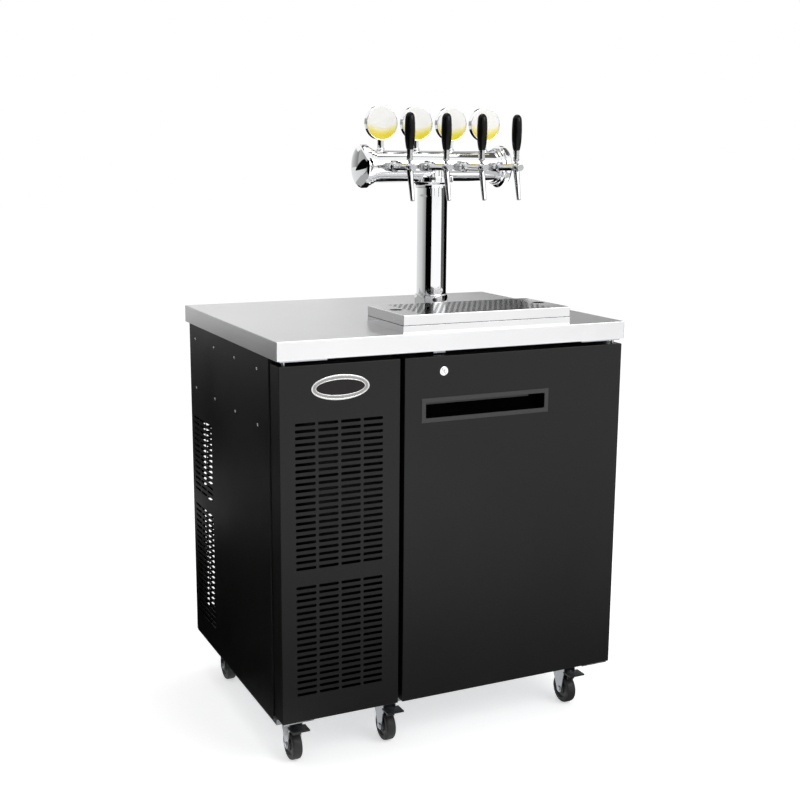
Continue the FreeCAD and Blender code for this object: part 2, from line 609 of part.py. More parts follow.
node("lock_strike", fuse(
    "strike_angle",
    box("strike_foot", ("lock_x - strike_width / 2", "lock_x + strike_width / 2"),
        ("%s - strike_foot" % strike_back, strike_back),
        ("skirt_bottom - strike_thick", "skirt_bottom")),
    box("strike_tongue", ("lock_x - strike_width / 2", "lock_x + strike_width / 2"),
        ("%s - strike_thick" % strike_back, strike_back),
        ("skirt_bottom - strike_drop", "skirt_bottom"))))

# Grille panel: a slotted leaf in front of the machine room
grille_pan = doc.addObject("PartDesign::Body", "grille_pan")
grille_pad = grille_pan.newObject("PartDesign::Pad", "grille_sheet")
grille_pad.Profile = sketch(grille_pan, "XZ_Plane", [
    ("grille_left", "leaf_bottom"), ("grille_right", "leaf_bottom"),
    ("grille_right", "leaf_top"), ("grille_left", "leaf_top")], "-(leaf_back)")
bind(grille_pad, "Length", "leaf_thick")
hollow = grille_pan.newObject("PartDesign::Pocket", "grille_hollow")
hollow.Profile = sketch(grille_pan, "XZ_Plane", [
    ("grille_left + leaf_sheet", "leaf_bottom + leaf_sheet"),
    ("grille_right - leaf_sheet", "leaf_bottom + leaf_sheet"),
    ("grille_right - leaf_sheet", "leaf_top - leaf_sheet"),
    ("grille_left + leaf_sheet", "leaf_top - leaf_sheet")], "-(leaf_back)")
hollow.Type = "Length"
hollow.Reversed = True
bind(hollow, "Length", "leaf_thick - leaf_sheet")
bores(grille_pan, "XY_Plane", "pin_bore", [("grille_hinge_x", "hinge_y")])
slots(grille_pan, "XZ_Plane", "grille_left + slot_margin", ("slot_length", "slot_height"),
      "front_columns", "slot_pitch_across",
      (("front_rows_upper", "front_slot_top"),
       ("front_rows_lower",
        "front_slot_top - (front_rows_upper - 1) * slot_pitch_up - slot_block_gap")),
      "slot_pitch_up")
node("grille_panel", grille_pan)


# Badge: an oval rim round a sunk bare face
def oval(label, width, height, low, high):
    solid = doc.addObject("Part::Feature", label)
    ellipse = Part.Ellipse(FreeCAD.Vector(), number(width) / 2, number(height) / 2)
    face = Part.Face(Part.Wire(ellipse.toShape()))
    solid.Shape = face.extrude(FreeCAD.Vector(0, 0, number(high) - number(low)))
    solid.Placement = FreeCAD.Placement(FreeCAD.Vector(), TURNS["y"])
    return move(solid, "badge_middle_x", low, "badge_middle_z")


badge_face = "leaf_front - badge_proud"
node("badge", cut(
    "badge_oval",
    oval("badge_plate", "badge_width", "badge_height", badge_face, "leaf_front"),
    oval("badge_well", "badge_face_width", "badge_face_height", badge_face + " - 1",
         badge_face + " + badge_face_sink")))

# Tower: flange, column, collar, bar and two end caps
tower = ("tower_x", "tower_y")
node("tower_flange", cut(
    "flange_bored",
    turned("flange_disc", "z", [
        ("worktop_height", "line_hole_radius"), ("worktop_height", "flange_radius"),
        ("worktop_height + flange_thick / 2", "flange_radius"),
        ("worktop_height + flange_thick", "flange_radius - flange_thick / 2"),
        ("worktop_height + flange_thick", "neck_radius"),
        ("worktop_height + neck_height", "neck_radius"),
        ("worktop_height + neck_height", "tube_radius"),
        ("column_foot", "tube_radius"), ("column_foot", "line_hole_radius")], tower),
    *[rod("flange_screw_bore_%s%s" % (across, deep), "z", "side_screw_radius",
          "worktop_height - 1", "worktop_height + flange_thick + 1",
          ("tower_x %s flange_screw_offset" % across,
           "tower_y %s flange_screw_offset" % deep))
      for across in "-+" for deep in "-+"]))
bar_core = rod("bar_core", "x", "tube_radius", "tower_x - bar_half_length",
               "tower_x + bar_half_length", ("tower_y", "bar_z"))
column_tube = turned("column_tube", "z", [
    ("column_foot", "tube_bore"), ("column_foot", "tube_radius"),
    ("bar_z", "tube_radius"), ("bar_z", "tube_bore")], tower)
node("tower_column", cut("column_cut", column_tube, bar_core))
collar_low = "bar_z - tube_radius - collar_height / 2"
node("tower_collar", cut(
    "collar_cut",
    turned("collar_flare", "z", [
        (collar_low, "tube_radius"), (collar_low, "collar_low_radius"),
        (collar_low + " + collar_height / 3", "collar_low_radius + collar_bead"),
        (collar_low + " + collar_height / 2", "collar_top_radius"),
        (collar_low + " + collar_height", "collar_top_radius"),
        (collar_low + " + collar_height", "tube_radius")], tower),
    bar_core))
tap_places = ["tower_x + tap_pitch * (%g)" % step for step in (-1.5, -0.5, 0.5, 1.5)]
bar_tube = cut(
    "bar_tube", bar_core,
    rod("bar_bore", "x", "tube_bore", "tower_x - bar_half_length - 1",
        "tower_x + bar_half_length + 1", ("tower_y", "bar_z")),
    rod("bar_mouth", "z", "tube_bore", "bar_z - 2 * tube_radius", "bar_z", tower),
    *[rod("shank_bore_%d" % index, "y", "shank_radius", "bar_front - 5", "tower_y",
          (tap_x, "bar_z")) for index, tap_x in enumerate(tap_places)])
node("tower_bar", bar_tube)
caps = []
for side, sign in (("left", "-"), ("right", "+")):
    places = [("bar_half_length", "0"), ("bar_half_length", "tube_radius"),
              ("bar_half_length - cap_neck", "tube_radius"),
              ("bar_half_length - cap_neck", "cap_neck_radius"),
              ("bar_half_length - cap_neck / 2", "cap_neck_radius"),
              ("bar_half_length - cap_neck / 2", "cap_neck_radius + cap_bead"),
              ("bar_half_length", "cap_neck_radius + cap_bead"),
              ("bar_half_length + cap_bead_length", "cap_radius"),
              ("bar_half_length + cap_rim", "cap_radius"),
              ("bar_half_length + cap_rim + cap_dome * 0.4", "cap_radius * 0.86"),
              ("bar_half_length + cap_rim + cap_dome * 0.75", "cap_radius * 0.6"),
              ("bar_half_length + cap_rim + cap_dome * 0.95", "cap_radius * 0.28"),
              ("bar_half_length + cap_rim + cap_dome", "0")]
    caps.append(turned("bar_cap_" + side, "x",
                       [("tower_x %s (%s)" % (sign, place), radius) for place, radius in places],
                       ("tower_y", "bar_z")))
node("bar_end_caps", group("bar_cap_pair", caps))

# Taps: coupling nut and shank, body with spout, and lever with its black handle
couplings, tap_bodies, levers = [], [], []
for index, tap_x in enumerate(tap_places, start=1):
    couplings.append(cut(
        "coupling_%d" % index,
        fuse("coupling_solid_%d" % index,
             rod("coupling_nut_%d" % index, "y", "coupling_radius", "coupling_end",
                 "bar_front + 2", (tap_x, "bar_z")),
             rod("coupling_shank_%d" % index, "y", "shank_radius", "coupling_end",
                 "bar_front + shank_inside", (tap_x, "bar_z"))),
        bar_tube,
        rod("coupling_bore_%d" % index, "y", "line_radius", "coupling_end - 1",
            "bar_front + shank_inside + 1", (tap_x, "bar_z"))))
    barrel = turned("tap_barrel_%d" % index, "y", [
        ("coupling_end", "0"), ("coupling_end", "tap_flange_radius"),
        ("tap_flange_end", "tap_flange_radius"),
        ("tap_flange_end - tap_flange_taper", "barrel_radius"),
        ("tap_y + tap_ball_radius * 0.6", "barrel_radius"),
        ("tap_y", "tap_neck_radius"),
        ("tap_y - tap_cap_reach + tap_cap_thick + tap_cap_bevel", "tap_neck_radius"),
        ("tap_y - tap_cap_reach + tap_cap_thick", "tap_cap_radius"),
        ("tap_y - tap_cap_reach", "tap_cap_radius"),
        ("tap_y - tap_cap_reach", "0")], (tap_x, "bar_z"))
    spout = doc.addObject("Part::Feature", "spout_%d" % index)
    root = FreeCAD.Vector(0, 0, 0)
    lean = FreeCAD.Vector(0, -number("spout_lean"), -number("spout_drop"))
    outer = Part.makeCone(number("spout_root_radius"), number("spout_tip_radius"),
                          lean.Length, root, lean)
    inner = Part.makeCylinder(number("spout_bore_radius"), lean.Length / 2,
                              root + lean.multiply(0.5), lean)
    spout.Shape = outer.cut(inner)
    move(spout, tap_x, "tap_y", "bar_z")
    tap_ball = ball("tap_ball_%d" % index, "tap_ball_radius", tap_x, "tap_y", "bar_z")
    tap_bodies.append(fuse("tap_body_%d" % index, barrel, tap_ball, spout))
    knob_z = "bar_z + lever_knob_height"
    stem = cut(
        "lever_stem_%d" % index,
        fuse("lever_solid_%d" % index,
             rod("lever_pivot_%d" % index, "z", "lever_pivot_radius",
                 "bar_z + tap_ball_radius * 0.6", knob_z, (tap_x, "tap_y")),
             ball("lever_knob_%d" % index, "lever_stem_radius", tap_x, "tap_y", knob_z),
             rod("lever_rod_%d" % index, "z", "lever_stem_radius", knob_z,
                 "bar_z + handle_foot", (tap_x, "tap_y"))),
        ball("lever_hollow_%d" % index, "tap_ball_radius + rest_gap", tap_x, "tap_y", "bar_z"))
    grip_height = "(tap_handle_top - handle_foot)"
    grip = turned("tap_grip_%d" % index, "z", [("bar_z + handle_foot", "0")] + [
        ("bar_z + handle_foot + %g * %s" % (height, grip_height),
         "tap_handle_wide_radius * %g" % width if height else "tap_handle_foot_radius")
        for height, width in ((0, 0), (0.18, 0.82), (0.4, 0.95), (0.63, 1), (0.8, 0.93),
                              (0.92, 0.72), (0.98, 0.4))] + [
        ("bar_z + tap_handle_top", "0")], (tap_x, "tap_y"))
    levers.append(group("lever_%d" % index, [stem, grip]))
node("tap_couplings", group("coupling_set", couplings))
node("tap_bodies", group("tap_body_set", tap_bodies))
for index, lever in enumerate(levers, start=1):
    node("tap_lever_%d" % index, lever)

# Medallions: a drum on a stem over each tap, with a bare face in front
cases, faces = [], []
medal_front = "tower_y - medal_thick / 2"
for index, tap_x in enumerate(tap_places, start=1):
    stem = turned("medal_stem_%d" % index, "z", [
        ("bar_z + tube_radius * 0.9", "0"),
        ("bar_z + tube_radius * 0.9", "medal_stem_foot_radius"),
        ("bar_z + tube_radius + medal_stem_foot", "medal_stem_foot_radius"),
        ("bar_z + tube_radius + medal_stem_foot + medal_stem_bevel", "medal_stem_radius"),
        ("medal_z - medal_radius * 0.9", "medal_stem_radius"),
        ("medal_z - medal_radius * 0.9", "0")], (tap_x, "tower_y"))
    drum = turned("medal_drum_%d" % index, "y", [
        (medal_front, "0"), (medal_front, "medal_radius"),
        (medal_front + " + medal_thick - medal_back_bevel", "medal_radius"),
        (medal_front + " + medal_thick", "medal_radius - medal_back_bevel"),
        (medal_front + " + medal_thick", "0")], (tap_x, "medal_z"))
    well = rod("medal_well_%d" % index, "y", "medal_radius - medal_rim", medal_front + " - 1",
               medal_front + " + medal_face", (tap_x, "medal_z"))
    cases.append(cut("medal_case_%d" % index, fuse("medal_solid_%d" % index, drum, stem),
                     bar_core, well))
    faces.append(rod("medal_face_%d" % index, "y", "medal_radius - medal_rim",
                     medal_front + " + medal_face_sink", medal_front + " + medal_face",
                     (tap_x, "medal_z")))
node("medallion_cases", group("medal_case_set", cases))
node("medallion_faces", group("medal_face_set", faces))


# Beer lines: from each shank along the bar and down the column into the cold room
def bent_tube(label, corners, radius, bend):
    """A tube along straight runs joined by tangent arcs of one radius."""
    edges, start = [], corners[0]
    for before, corner, after in zip(corners, corners[1:], corners[2:]):
        towards = (before - corner).normalize()
        away = (after - corner).normalize()
        arc_start, arc_end = corner + towards * bend, corner + away * bend
        centre = arc_start + away * bend
        middle = centre + (corner - centre).normalize() * bend
        edges.append(Part.LineSegment(start, arc_start).toShape())
        edges.append(Part.Arc(arc_start, middle, arc_end).toShape())
        start = arc_end
    edges.append(Part.LineSegment(start, corners[-1]).toShape())
    path = Part.Wire(edges)
    ring = Part.Wire(Part.makeCircle(radius, corners[0], corners[1] - corners[0]))
    tube = doc.addObject("Part::Feature", label)
    tube.Shape = path.makePipeShell([ring], True, False)
    return tube


lines = []
lane = number("line_lane")
middle_x, middle_y, bar_z = number("tower_x"), number("tower_y"), number("bar_z")
line_start = number("bar_front + shank_inside")
line_end = number("liner_top - line_drop")
for index, tap_x in enumerate(tap_places, start=1):
    outer = index in (1, 4)
    shank_x = number(tap_x)
    lane_x = middle_x + (lane if shank_x > middle_x else -lane)
    lane_y = middle_y + (lane if outer else -lane)
    lines.append(bent_tube("beer_line_%d" % index, [
        FreeCAD.Vector(shank_x, line_start, bar_z), FreeCAD.Vector(shank_x, lane_y, bar_z),
        FreeCAD.Vector(lane_x, lane_y, bar_z), FreeCAD.Vector(lane_x, lane_y, line_end)],
        number("line_radius"), number("line_bend")))
node("beer_lines", group("beer_line_set", lines))

# Drip tray: a pan on the worktop and a perforated lid that lifts off
tray_x, tray_y = ("tray_left", "tray_right"), ("tray_front", "tray_back")
inset = "tray_sheet + rest_gap"
pan_rim = rim(
    "pan_rim",
    ("tray_left + %s" % inset, "tray_right - (%s)" % inset),
    ("tray_front + %s" % inset, "tray_back - (%s)" % inset),
    ("worktop_height", "tray_top - tray_sheet - rest_gap"),
    ("tray_left + 2 * tray_sheet + rest_gap", "tray_right - 2 * tray_sheet - rest_gap"),
    ("tray_front + 2 * tray_sheet + rest_gap", "tray_back - 2 * tray_sheet - rest_gap"),
    ("worktop_height + tray_sheet", "tray_top"))
pan_skirt = rim(
    "pan_skirt", tray_x, tray_y, ("worktop_height", "tray_seam"),
    ("tray_left + %s" % inset, "tray_right - (%s)" % inset),
    ("tray_front + %s" % inset, "tray_back - (%s)" % inset),
    ("worktop_height - 1", "tray_seam + 1"))
node("drip_pan", fuse("drip_pan_solid", pan_rim, pan_skirt))

lid = doc.addObject("PartDesign::Body", "lid_body")
lid_pad = lid.newObject("PartDesign::Pad", "lid_block")
lid_pad.Profile = sketch(lid, "XY_Plane", [
    ("tray_left", "tray_front"), ("tray_right", "tray_front"),
    ("tray_right", "tray_back"), ("tray_left", "tray_back")], "tray_seam + rest_gap")
bind(lid_pad, "Length", "tray_lid_height - rest_gap")
lid_hollow = lid.newObject("PartDesign::Pocket", "lid_hollow")
lid_hollow.Profile = sketch(lid, "XY_Plane", [
    ("tray_left + tray_sheet", "tray_front + tray_sheet"),
    ("tray_right - tray_sheet", "tray_front + tray_sheet"),
    ("tray_right - tray_sheet", "tray_back - tray_sheet"),
    ("tray_left + tray_sheet", "tray_back - tray_sheet")], "tray_seam + rest_gap")
lid_hollow.Type = "Length"
lid_hollow.Reversed = True
bind(lid_hollow, "Length", "tray_lid_height - rest_gap - tray_sheet")
bores(lid, "XY_Plane", "finger_hole_radius", [
    ("tray_left + finger_hole_inset", "tray_middle_y"),
    ("tray_right - finger_hole_inset", "tray_middle_y")])
# Round holes in rows, every second row set half a pitch along
for fewer in (0, 1):
    columns, rows = "tray_hole_columns - %d" % fewer, "tray_hole_rows - %d" % fewer
    repeated(lid, circles(lid, "XY_Plane", "tray_hole_radius", [
        ("tower_x - (%s - 1) * tray_hole_pitch / 2" % columns,
         "tray_middle_y + (%s - 1) * tray_row_pitch" % rows)]),
        columns, "tray_hole_pitch", rows, "2 * tray_row_pitch")
node("drip_lid", lid)

# Screws: four on the tower flange and two rows on each side panel
screws = []
for across in "-+":
    for deep in "-+":
        place = ("tower_x %s flange_screw_offset" % across,
                 "tower_y %s flange_screw_offset" % deep)
        name = "flange_screw_%d" % len(screws)
        screws.append(fuse(
            name,
            rod(name + "_shank", "z", "side_screw_radius - running_gap",
                "worktop_height", "worktop_height + flange_thick", place),
            rod(name + "_head", "z", "flange_screw_head_radius",
                "worktop_height + flange_thick",
                "worktop_height + flange_thick + flange_screw_head", place)))
for side, ends in (("left", ("cabinet_left - side_screw_head", "cabinet_left")),
                   ("right", ("cabinet_right", "cabinet_right + side_screw_head"))):
    for level in ("side_screw_high", "side_screw_low"):
        for count in range(int(number("side_screws"))):
            screws.append(rod("%s_screw_%s_%d" % (side, level, count), "x", "side_screw_radius",
                              ends[0], ends[1],
                              ("side_screw_first + %d * side_screw_pitch" % count, level)))
node("screws", group("screw_set", screws))


# Casters: three that swivel in front and three fixed ones behind
def wheel(label, caster_x, wheel_y):
    """A tyre and hub in one, bored for its axle."""
    half = "wheel_width / 2"
    hub = "fork_gap - rest_gap"
    return turned(label + "_turned", "x", [
        ("%s - (%s)" % (caster_x, hub), "axle_radius + running_gap"),
        ("%s - (%s)" % (caster_x, hub), "hub_radius"),
        ("%s - %s" % (caster_x, half), "hub_radius"),
        ("%s - %s" % (caster_x, half), "wheel_radius - tyre_drop"),
        ("%s - %s + tyre_bevel" % (caster_x, half), "wheel_radius"),
        ("%s + %s - tyre_bevel" % (caster_x, half), "wheel_radius"),
        ("%s + %s" % (caster_x, half), "wheel_radius - tyre_drop"),
        ("%s + %s" % (caster_x, half), "hub_radius"),
        ("%s + %s" % (caster_x, hub), "hub_radius"),
        ("%s + %s" % (caster_x, hub), "axle_radius + running_gap")], (wheel_y, "wheel_radius"))


def axle(label, caster_x, wheel_y):
    """A bolt through both legs, with a head outside each."""
    reach = "fork_gap + fork_sheet"
    place = (wheel_y, "wheel_radius")
    heads = [rod("%s_axle_head_%d" % (label, index), "x", "axle_head_radius",
                 "%s + (%s)" % (caster_x, low), "%s + (%s)" % (caster_x, high), place)
             for index, (low, high) in enumerate((
                 ("-(%s) - axle_head" % reach, "-(%s)" % reach),
                 (reach, "%s + axle_head" % reach)))]
    shaft = rod(label + "_axle", "x", "axle_radius", "%s - (%s)" % (caster_x, reach),
                "%s + %s" % (caster_x, reach), place)
    return [shaft] + heads


def legs(label, caster_x, outline):
    """Two side plates of a fork, from one outline in Y and Z."""
    return [padded("%s_leg_%d" % (label, index), "YZ_Plane", outline,
                   "%s + (%s)" % (caster_x, low), "%s + (%s)" % (caster_x, high))
            for index, (low, high) in enumerate((("-fork_gap - fork_sheet", "-fork_gap"),
                                                 ("fork_gap", "fork_gap + fork_sheet")))]


def plate(label, caster_x, caster_y):
    return box(label + "_plate", ("%s - plate_width / 2" % caster_x,
                                  "%s + plate_width / 2" % caster_x),
               ("%s - plate_length / 2" % caster_y, "%s + plate_length / 2" % caster_y),
               ("plate_under", "base_bottom"))


mounts = []
fork_y = "caster_front - wheel_offset"
pivot_y, pivot_z = "caster_front - pedal_pivot_y", "base_bottom - pedal_pivot_drop"
for side in ("left", "middle", "right"):
    caster_x = "caster_" + side
    place = (caster_x, "caster_front")
    mounts.append(fuse(
        "mount_" + side, plate("mount_" + side, caster_x, "caster_front"),
        rod("race_" + side, "z", "race_radius", "race_under", "plate_under", place),
        rod("kingpin_" + side, "z", "kingpin_radius", "crown_under - rest_gap - rivet_head",
            "race_under", place),
        rod("rivet_" + side, "z", "rivet_radius", "crown_under - rest_gap - rivet_head",
            "crown_under - rest_gap", place)))
    name = "front_fork_" + side
    outline = [("caster_front + crown_rear", "crown_top"),
               ("caster_front + crown_rear", "crown_under - fork_heel"),
               ("%s + fork_foot" % fork_y, "wheel_radius - fork_foot_rise"),
               ("%s + fork_foot_flat" % fork_y, "wheel_radius - fork_foot_drop"),
               ("%s - fork_foot_flat" % fork_y, "wheel_radius - fork_foot_drop"),
               ("%s - fork_foot" % fork_y, "wheel_radius - fork_toe_rise"),
               ("%s - fork_nose / 2" % pivot_y, "%s - fork_nose_drop" % pivot_z),
               ("%s - fork_nose" % pivot_y, pivot_z),
               ("%s - fork_nose_top" % pivot_y, "crown_top")]
    crown = box(name + "_crown",
                ("%s - fork_gap - fork_sheet" % caster_x, "%s + fork_gap + fork_sheet" % caster_x),
                ("caster_front - crown_front", "caster_front + crown_rear"),
                ("crown_under", "crown_top"))
    crown_hole = rod(name + "_hole", "z", "kingpin_radius + running_gap", "crown_under - 1",
                     "crown_top + 1", place)
    pivot_pin = rod(name + "_pedal_pin", "x", "pedal_pin_radius",
                    "%s - fork_gap - fork_sheet" % caster_x,
                    "%s + fork_gap + fork_sheet" % caster_x, (pivot_y, pivot_z))
    node("caster_fork_" + side, cut(
        name, fuse(name + "_solid", crown, pivot_pin, *legs(name, caster_x, outline),
                   *axle(name, caster_x, fork_y)), crown_hole))
    name = "pedal_" + side
    inner = ("%s - fork_gap + rest_gap" % caster_x, "%s + fork_gap - rest_gap" % caster_x)
    plate_z = ("%s - pedal_thick / 2" % pivot_z, "%s + pedal_thick / 2" % pivot_z)
    pedal_solid = fuse(
        name + "_solid",
        rod(name + "_barrel", "x", "pedal_barrel_radius", inner[0], inner[1],
            (pivot_y, pivot_z)),
        box(name + "_neck", inner, ("%s - pedal_neck" % pivot_y, pivot_y), plate_z),
        box(name + "_tread", ("%s - pedal_width / 2" % caster_x,
                              "%s + pedal_width / 2" % caster_x),
            ("caster_front - pedal_reach", "%s - pedal_tread_start" % pivot_y), plate_z),
        box(name + "_pad",
            ("%s - pedal_pad_width / 2" % caster_x, "%s + pedal_pad_width / 2" % caster_x),
            ("%s - pedal_pad_front" % pivot_y, "%s - pedal_tread_start" % pivot_y),
            ("%s - pedal_pad_drop" % pivot_z, pivot_z)))
    node("brake_" + name, cut(
        name, pedal_solid,
        rod(name + "_bore", "x", "pedal_pin_radius + running_gap", "%s - pedal_width" % caster_x,
            "%s + pedal_width" % caster_x, (pivot_y, pivot_z))))
    node("front_wheel_" + side, wheel("front_wheel_" + side, caster_x, fork_y))

    rear = "rear_frame_" + side
    rear_outline = [("caster_rear + rear_leg_top", "plate_under"),
                    ("caster_rear + rear_leg_shoulder", "plate_under - rear_leg_shoulder_drop"),
                    ("caster_rear + fork_foot", "wheel_radius - fork_foot_rise"),
                    ("caster_rear + fork_foot_flat", "wheel_radius - fork_foot_drop"),
                    ("caster_rear - fork_foot_flat", "wheel_radius - fork_foot_drop"),
                    ("caster_rear - fork_foot", "wheel_radius - fork_foot_rise"),
                    ("caster_rear - rear_leg_shoulder", "plate_under - rear_leg_shoulder_drop"),
                    ("caster_rear - rear_leg_top", "plate_under")]
    mounts.append(fuse(rear, plate(rear, caster_x, "caster_rear"),
                       *legs(rear, caster_x, rear_outline), *axle(rear, caster_x, "caster_rear")))
    node("rear_wheel_" + side, wheel("rear_wheel_" + side, caster_x, "caster_rear"))
node("caster_mounts", group("caster_mount_set", mounts))

# Compressor: a welded pot on a foot plate
node("compressor", fuse(
    "compressor_solid",
    turned("compressor_pot", "z", [
        ("pot_low", "0"), ("pot_low", "compressor_radius * 0.7"),
        ("pot_low + pot_shoulder", "compressor_radius * 0.94"),
        ("pot_low + pot_wall_start", "compressor_radius"),
        ("pot_low + compressor_height * 0.72", "compressor_radius"),
        ("pot_low + compressor_height * 0.9", "compressor_radius * 0.86"),
        ("pot_low + compressor_height", "compressor_radius * 0.45"),
        ("pot_low + compressor_height", "0")], ("compressor_x", "compressor_y")),
    box("compressor_foot",
        ("compressor_x - foot_width / 2", "compressor_x + foot_width / 2"),
        ("compressor_y - foot_depth / 2", "compressor_y + foot_depth / 2"),
        ("pot_low - foot_under", "pot_low + foot_over")),
    *[rod("compressor_grommet_%s%s" % (across, deep), "z", "grommet_radius", "machine_floor",
          "pot_low - foot_under", ("compressor_x %s grommet_span_across / 2" % across,
                                   "compressor_y %s grommet_span_deep / 2" % deep))
      for across in "-+" for deep in "-+"]))

# Condenser, its shroud, and the motors of both fans
half_width = "condenser_width / 2"
condenser_run = ("condenser_x - %s" % half_width, "condenser_x + %s" % half_width)
condenser = box("condenser_fins", condenser_run, ("condenser_front", "condenser_back"),
                ("condenser_low", "condenser_low + condenser_height"))
condenser_ends = [rod("condenser_tube_%d" % index, "x", "tube_coil_radius",
                      "condenser_x - %s - tube_end" % half_width,
                      "condenser_x + %s + tube_end" % half_width,
                      ("(condenser_front + condenser_back) / 2",
                       "condenser_low + condenser_height * (%d + 0.5) / coil_tubes" % index))
                  for index in range(int(number("coil_tubes")))]
condenser_feet = [box("condenser_foot_%s" % name, ends, ("condenser_front", "condenser_back"),
                      ("machine_floor", "condenser_low"))
                  for name, ends in (
                      ("left", ("condenser_x - %s" % half_width,
                                "condenser_x - %s + condenser_foot" % half_width)),
                      ("right", ("condenser_x + %s - condenser_foot" % half_width,
                                 "condenser_x + %s" % half_width)))]
node("condenser_coil", fuse("condenser_solid", condenser, *condenser_ends, *condenser_feet))
fan_place = ("condenser_x", "fan_z")
node("fan_shroud", cut(
    "shroud_solid",
    box("shroud_block", condenser_run,
        ("condenser_back", "condenser_back + shroud_depth"),
        ("condenser_low", "condenser_low + condenser_height")),
    box("shroud_hollow",
        ("condenser_x - %s + panel_sheet" % half_width,
         "condenser_x + %s - panel_sheet" % half_width),
        ("condenser_back - 1", "condenser_back + shroud_depth - panel_sheet"),
        ("condenser_low + panel_sheet", "condenser_low + condenser_height - panel_sheet")),
    rod("shroud_hole", "y", "fan_radius + fan_gap", "condenser_back - 1",
        "condenser_back + shroud_depth + 1", fan_place)))


def fan(label, axis, tip_radius, hub_radius, low, depth, across):
    """A hub with straight pitched blades, bored for its motor's shaft."""
    body = doc.addObject("PartDesign::Body", label)
    body.Placement = FreeCAD.Placement(FreeCAD.Vector(), TURNS[axis])
    hub = body.newObject("PartDesign::Revolution", label + "_hub")
    hub.Profile = sketch(body, "XZ_Plane", [
        ("motor_shaft_radius + running_gap", "0"), (hub_radius, "0"), (hub_radius, depth),
        ("motor_shaft_radius + running_gap", depth)])
    hub.ReferenceAxis = (hub.Profile[0], ["V_Axis"])
    hub.Angle = 360
    chord = "blade_chord / 2 * (%s) / fan_hub_radius" % hub_radius
    rise = "blade_rise / 2 * (%s) / fan_hub_depth" % depth
    middle = "(%s) / 2" % depth
    blade = body.newObject("PartDesign::Pad", label + "_blade")
    blade.Profile = sketch(body, "YZ_Plane", [
        ("-(%s)" % chord, "%s - %s" % (middle, rise)), (chord, "%s + %s" % (middle, rise)),
        (chord, "%s + %s + blade_thick" % (middle, rise)),
        ("-(%s)" % chord, "%s - %s + blade_thick" % (middle, rise))],
        "(%s) * 0.75" % hub_radius)
    bind(blade, "Length", "(%s) - (%s) * 0.75" % (tip_radius, hub_radius))
    ring = body.newObject("PartDesign::PolarPattern", label + "_blades")
    ring.Originals = [blade]
    ring.Axis = (origin_part(body, "Z_Axis"), [""])
    ring.Angle = 360
    bind(ring, "Occurrences", "blades")
    body.Tip = ring
    return move(body, *along(axis, low, across))


node("condenser_fan", fan("condenser_fan_body", "y", "fan_radius", "fan_hub_radius", "fan_y",
                          "fan_hub_depth", fan_place))
motor_y = "condenser_back + shroud_depth"
big_motor = fuse(
    "condenser_motor",
    rod("condenser_motor_can", "y", "motor_radius", motor_y, motor_y + " + motor_length",
        fan_place),
    rod("condenser_motor_shaft", "y", "motor_shaft_radius", "fan_y", motor_y, fan_place),
    box("condenser_motor_strut", condenser_run,
        (motor_y, motor_y + " + strut_thick"),
        ("fan_z - strut_width / 2", "fan_z + strut_width / 2")))

# Evaporator coil, cover, fan and motor, on the partition inside the cold room
coil_x = ("coil_left", "coil_left + coil_width")
coil_y = ("coil_back - coil_depth", "coil_back")
evaporator = box("coil_fins", coil_x, coil_y, ("coil_top - coil_height", "coil_top"))
coil_tubes = [rod("coil_tube_%d" % index, "y", "tube_coil_radius",
                  "coil_back - coil_depth - tube_end", "coil_back + tube_end",
                  ("coil_left + coil_width / 2",
                   "coil_top - coil_height * (%d + 0.5) / coil_tubes" % index))
              for index in range(int(number("coil_tubes")))]
coil_hangers = [box("coil_hanger_%s" % name, ("liner_left", "coil_left"), ends,
                    ("coil_top - hanger_drop", "coil_top"))
                for name, ends in (
                    ("front", ("coil_back - coil_depth", "coil_back - coil_depth + hanger_width")),
                    ("back", ("coil_back - hanger_width", "coil_back")))]
node("evaporator_coil", fuse("evaporator_solid", evaporator, *coil_tubes, *coil_hangers))
cool_place = ("cool_fan_y", "cool_fan_z")
cover_low, cover_high = "coil_top - coil_height - cover_margin", "coil_top + cover_margin"
cover_y = ("coil_back - coil_depth - cover_margin", "coil_back + cover_margin")
node("evaporator_cover", cut(
    "cover_solid",
    box("cover_block", ("liner_left", "cover_right"), cover_y, (cover_low, cover_high)),
    box("cover_hollow", ("liner_left - 1", "cover_right - panel_sheet"),
        (cover_y[0] + " + panel_sheet", cover_y[1] + " - panel_sheet"),
        (cover_low + " + panel_sheet", cover_high + " - panel_sheet")),
    rod("cover_hole", "x", "cover_hole_radius", "cover_right - 5", "cover_right + 1",
        cool_place),
    box("cover_intake", ("coil_left", "coil_left + coil_width"),
        (cover_y[0] + " + intake_inset", cover_y[1] + " - intake_inset"),
        (cover_low + " - 1", cover_low + " + 5"))))
motor_x = "coil_left + coil_width"
cool_fan_x = motor_x + " + cool_motor_length + rest_gap"
node("evaporator_fan", fan("evaporator_fan_body", "x", "cool_fan_radius",
                           "cool_hub_radius", cool_fan_x, "cool_hub_depth",
                           cool_place))
small_motor = fuse(
    "evaporator_motor",
    rod("evaporator_motor_can", "x", "cool_motor_radius", motor_x,
        motor_x + " + cool_motor_length", cool_place),
    rod("evaporator_motor_shaft", "x", "motor_shaft_radius", motor_x,
        cool_fan_x + " + cool_hub_depth", cool_place))
node("fan_motors", group("fan_motor_pair", [big_motor, small_motor]))

# Control box with the gland that the mains cord would enter by
node("control_box", fuse(
    "control_solid",
    box("control_case", ("control_x - control_width / 2", "control_x + control_width / 2"),
        ("inside_back - control_depth", "inside_back"),
        ("control_z - control_height / 2", "control_z + control_height / 2")),
    rod("cord_gland", "y", "gland_radius", "inside_back", "cabinet_back + gland_reach",
        ("control_x", "control_z"))))

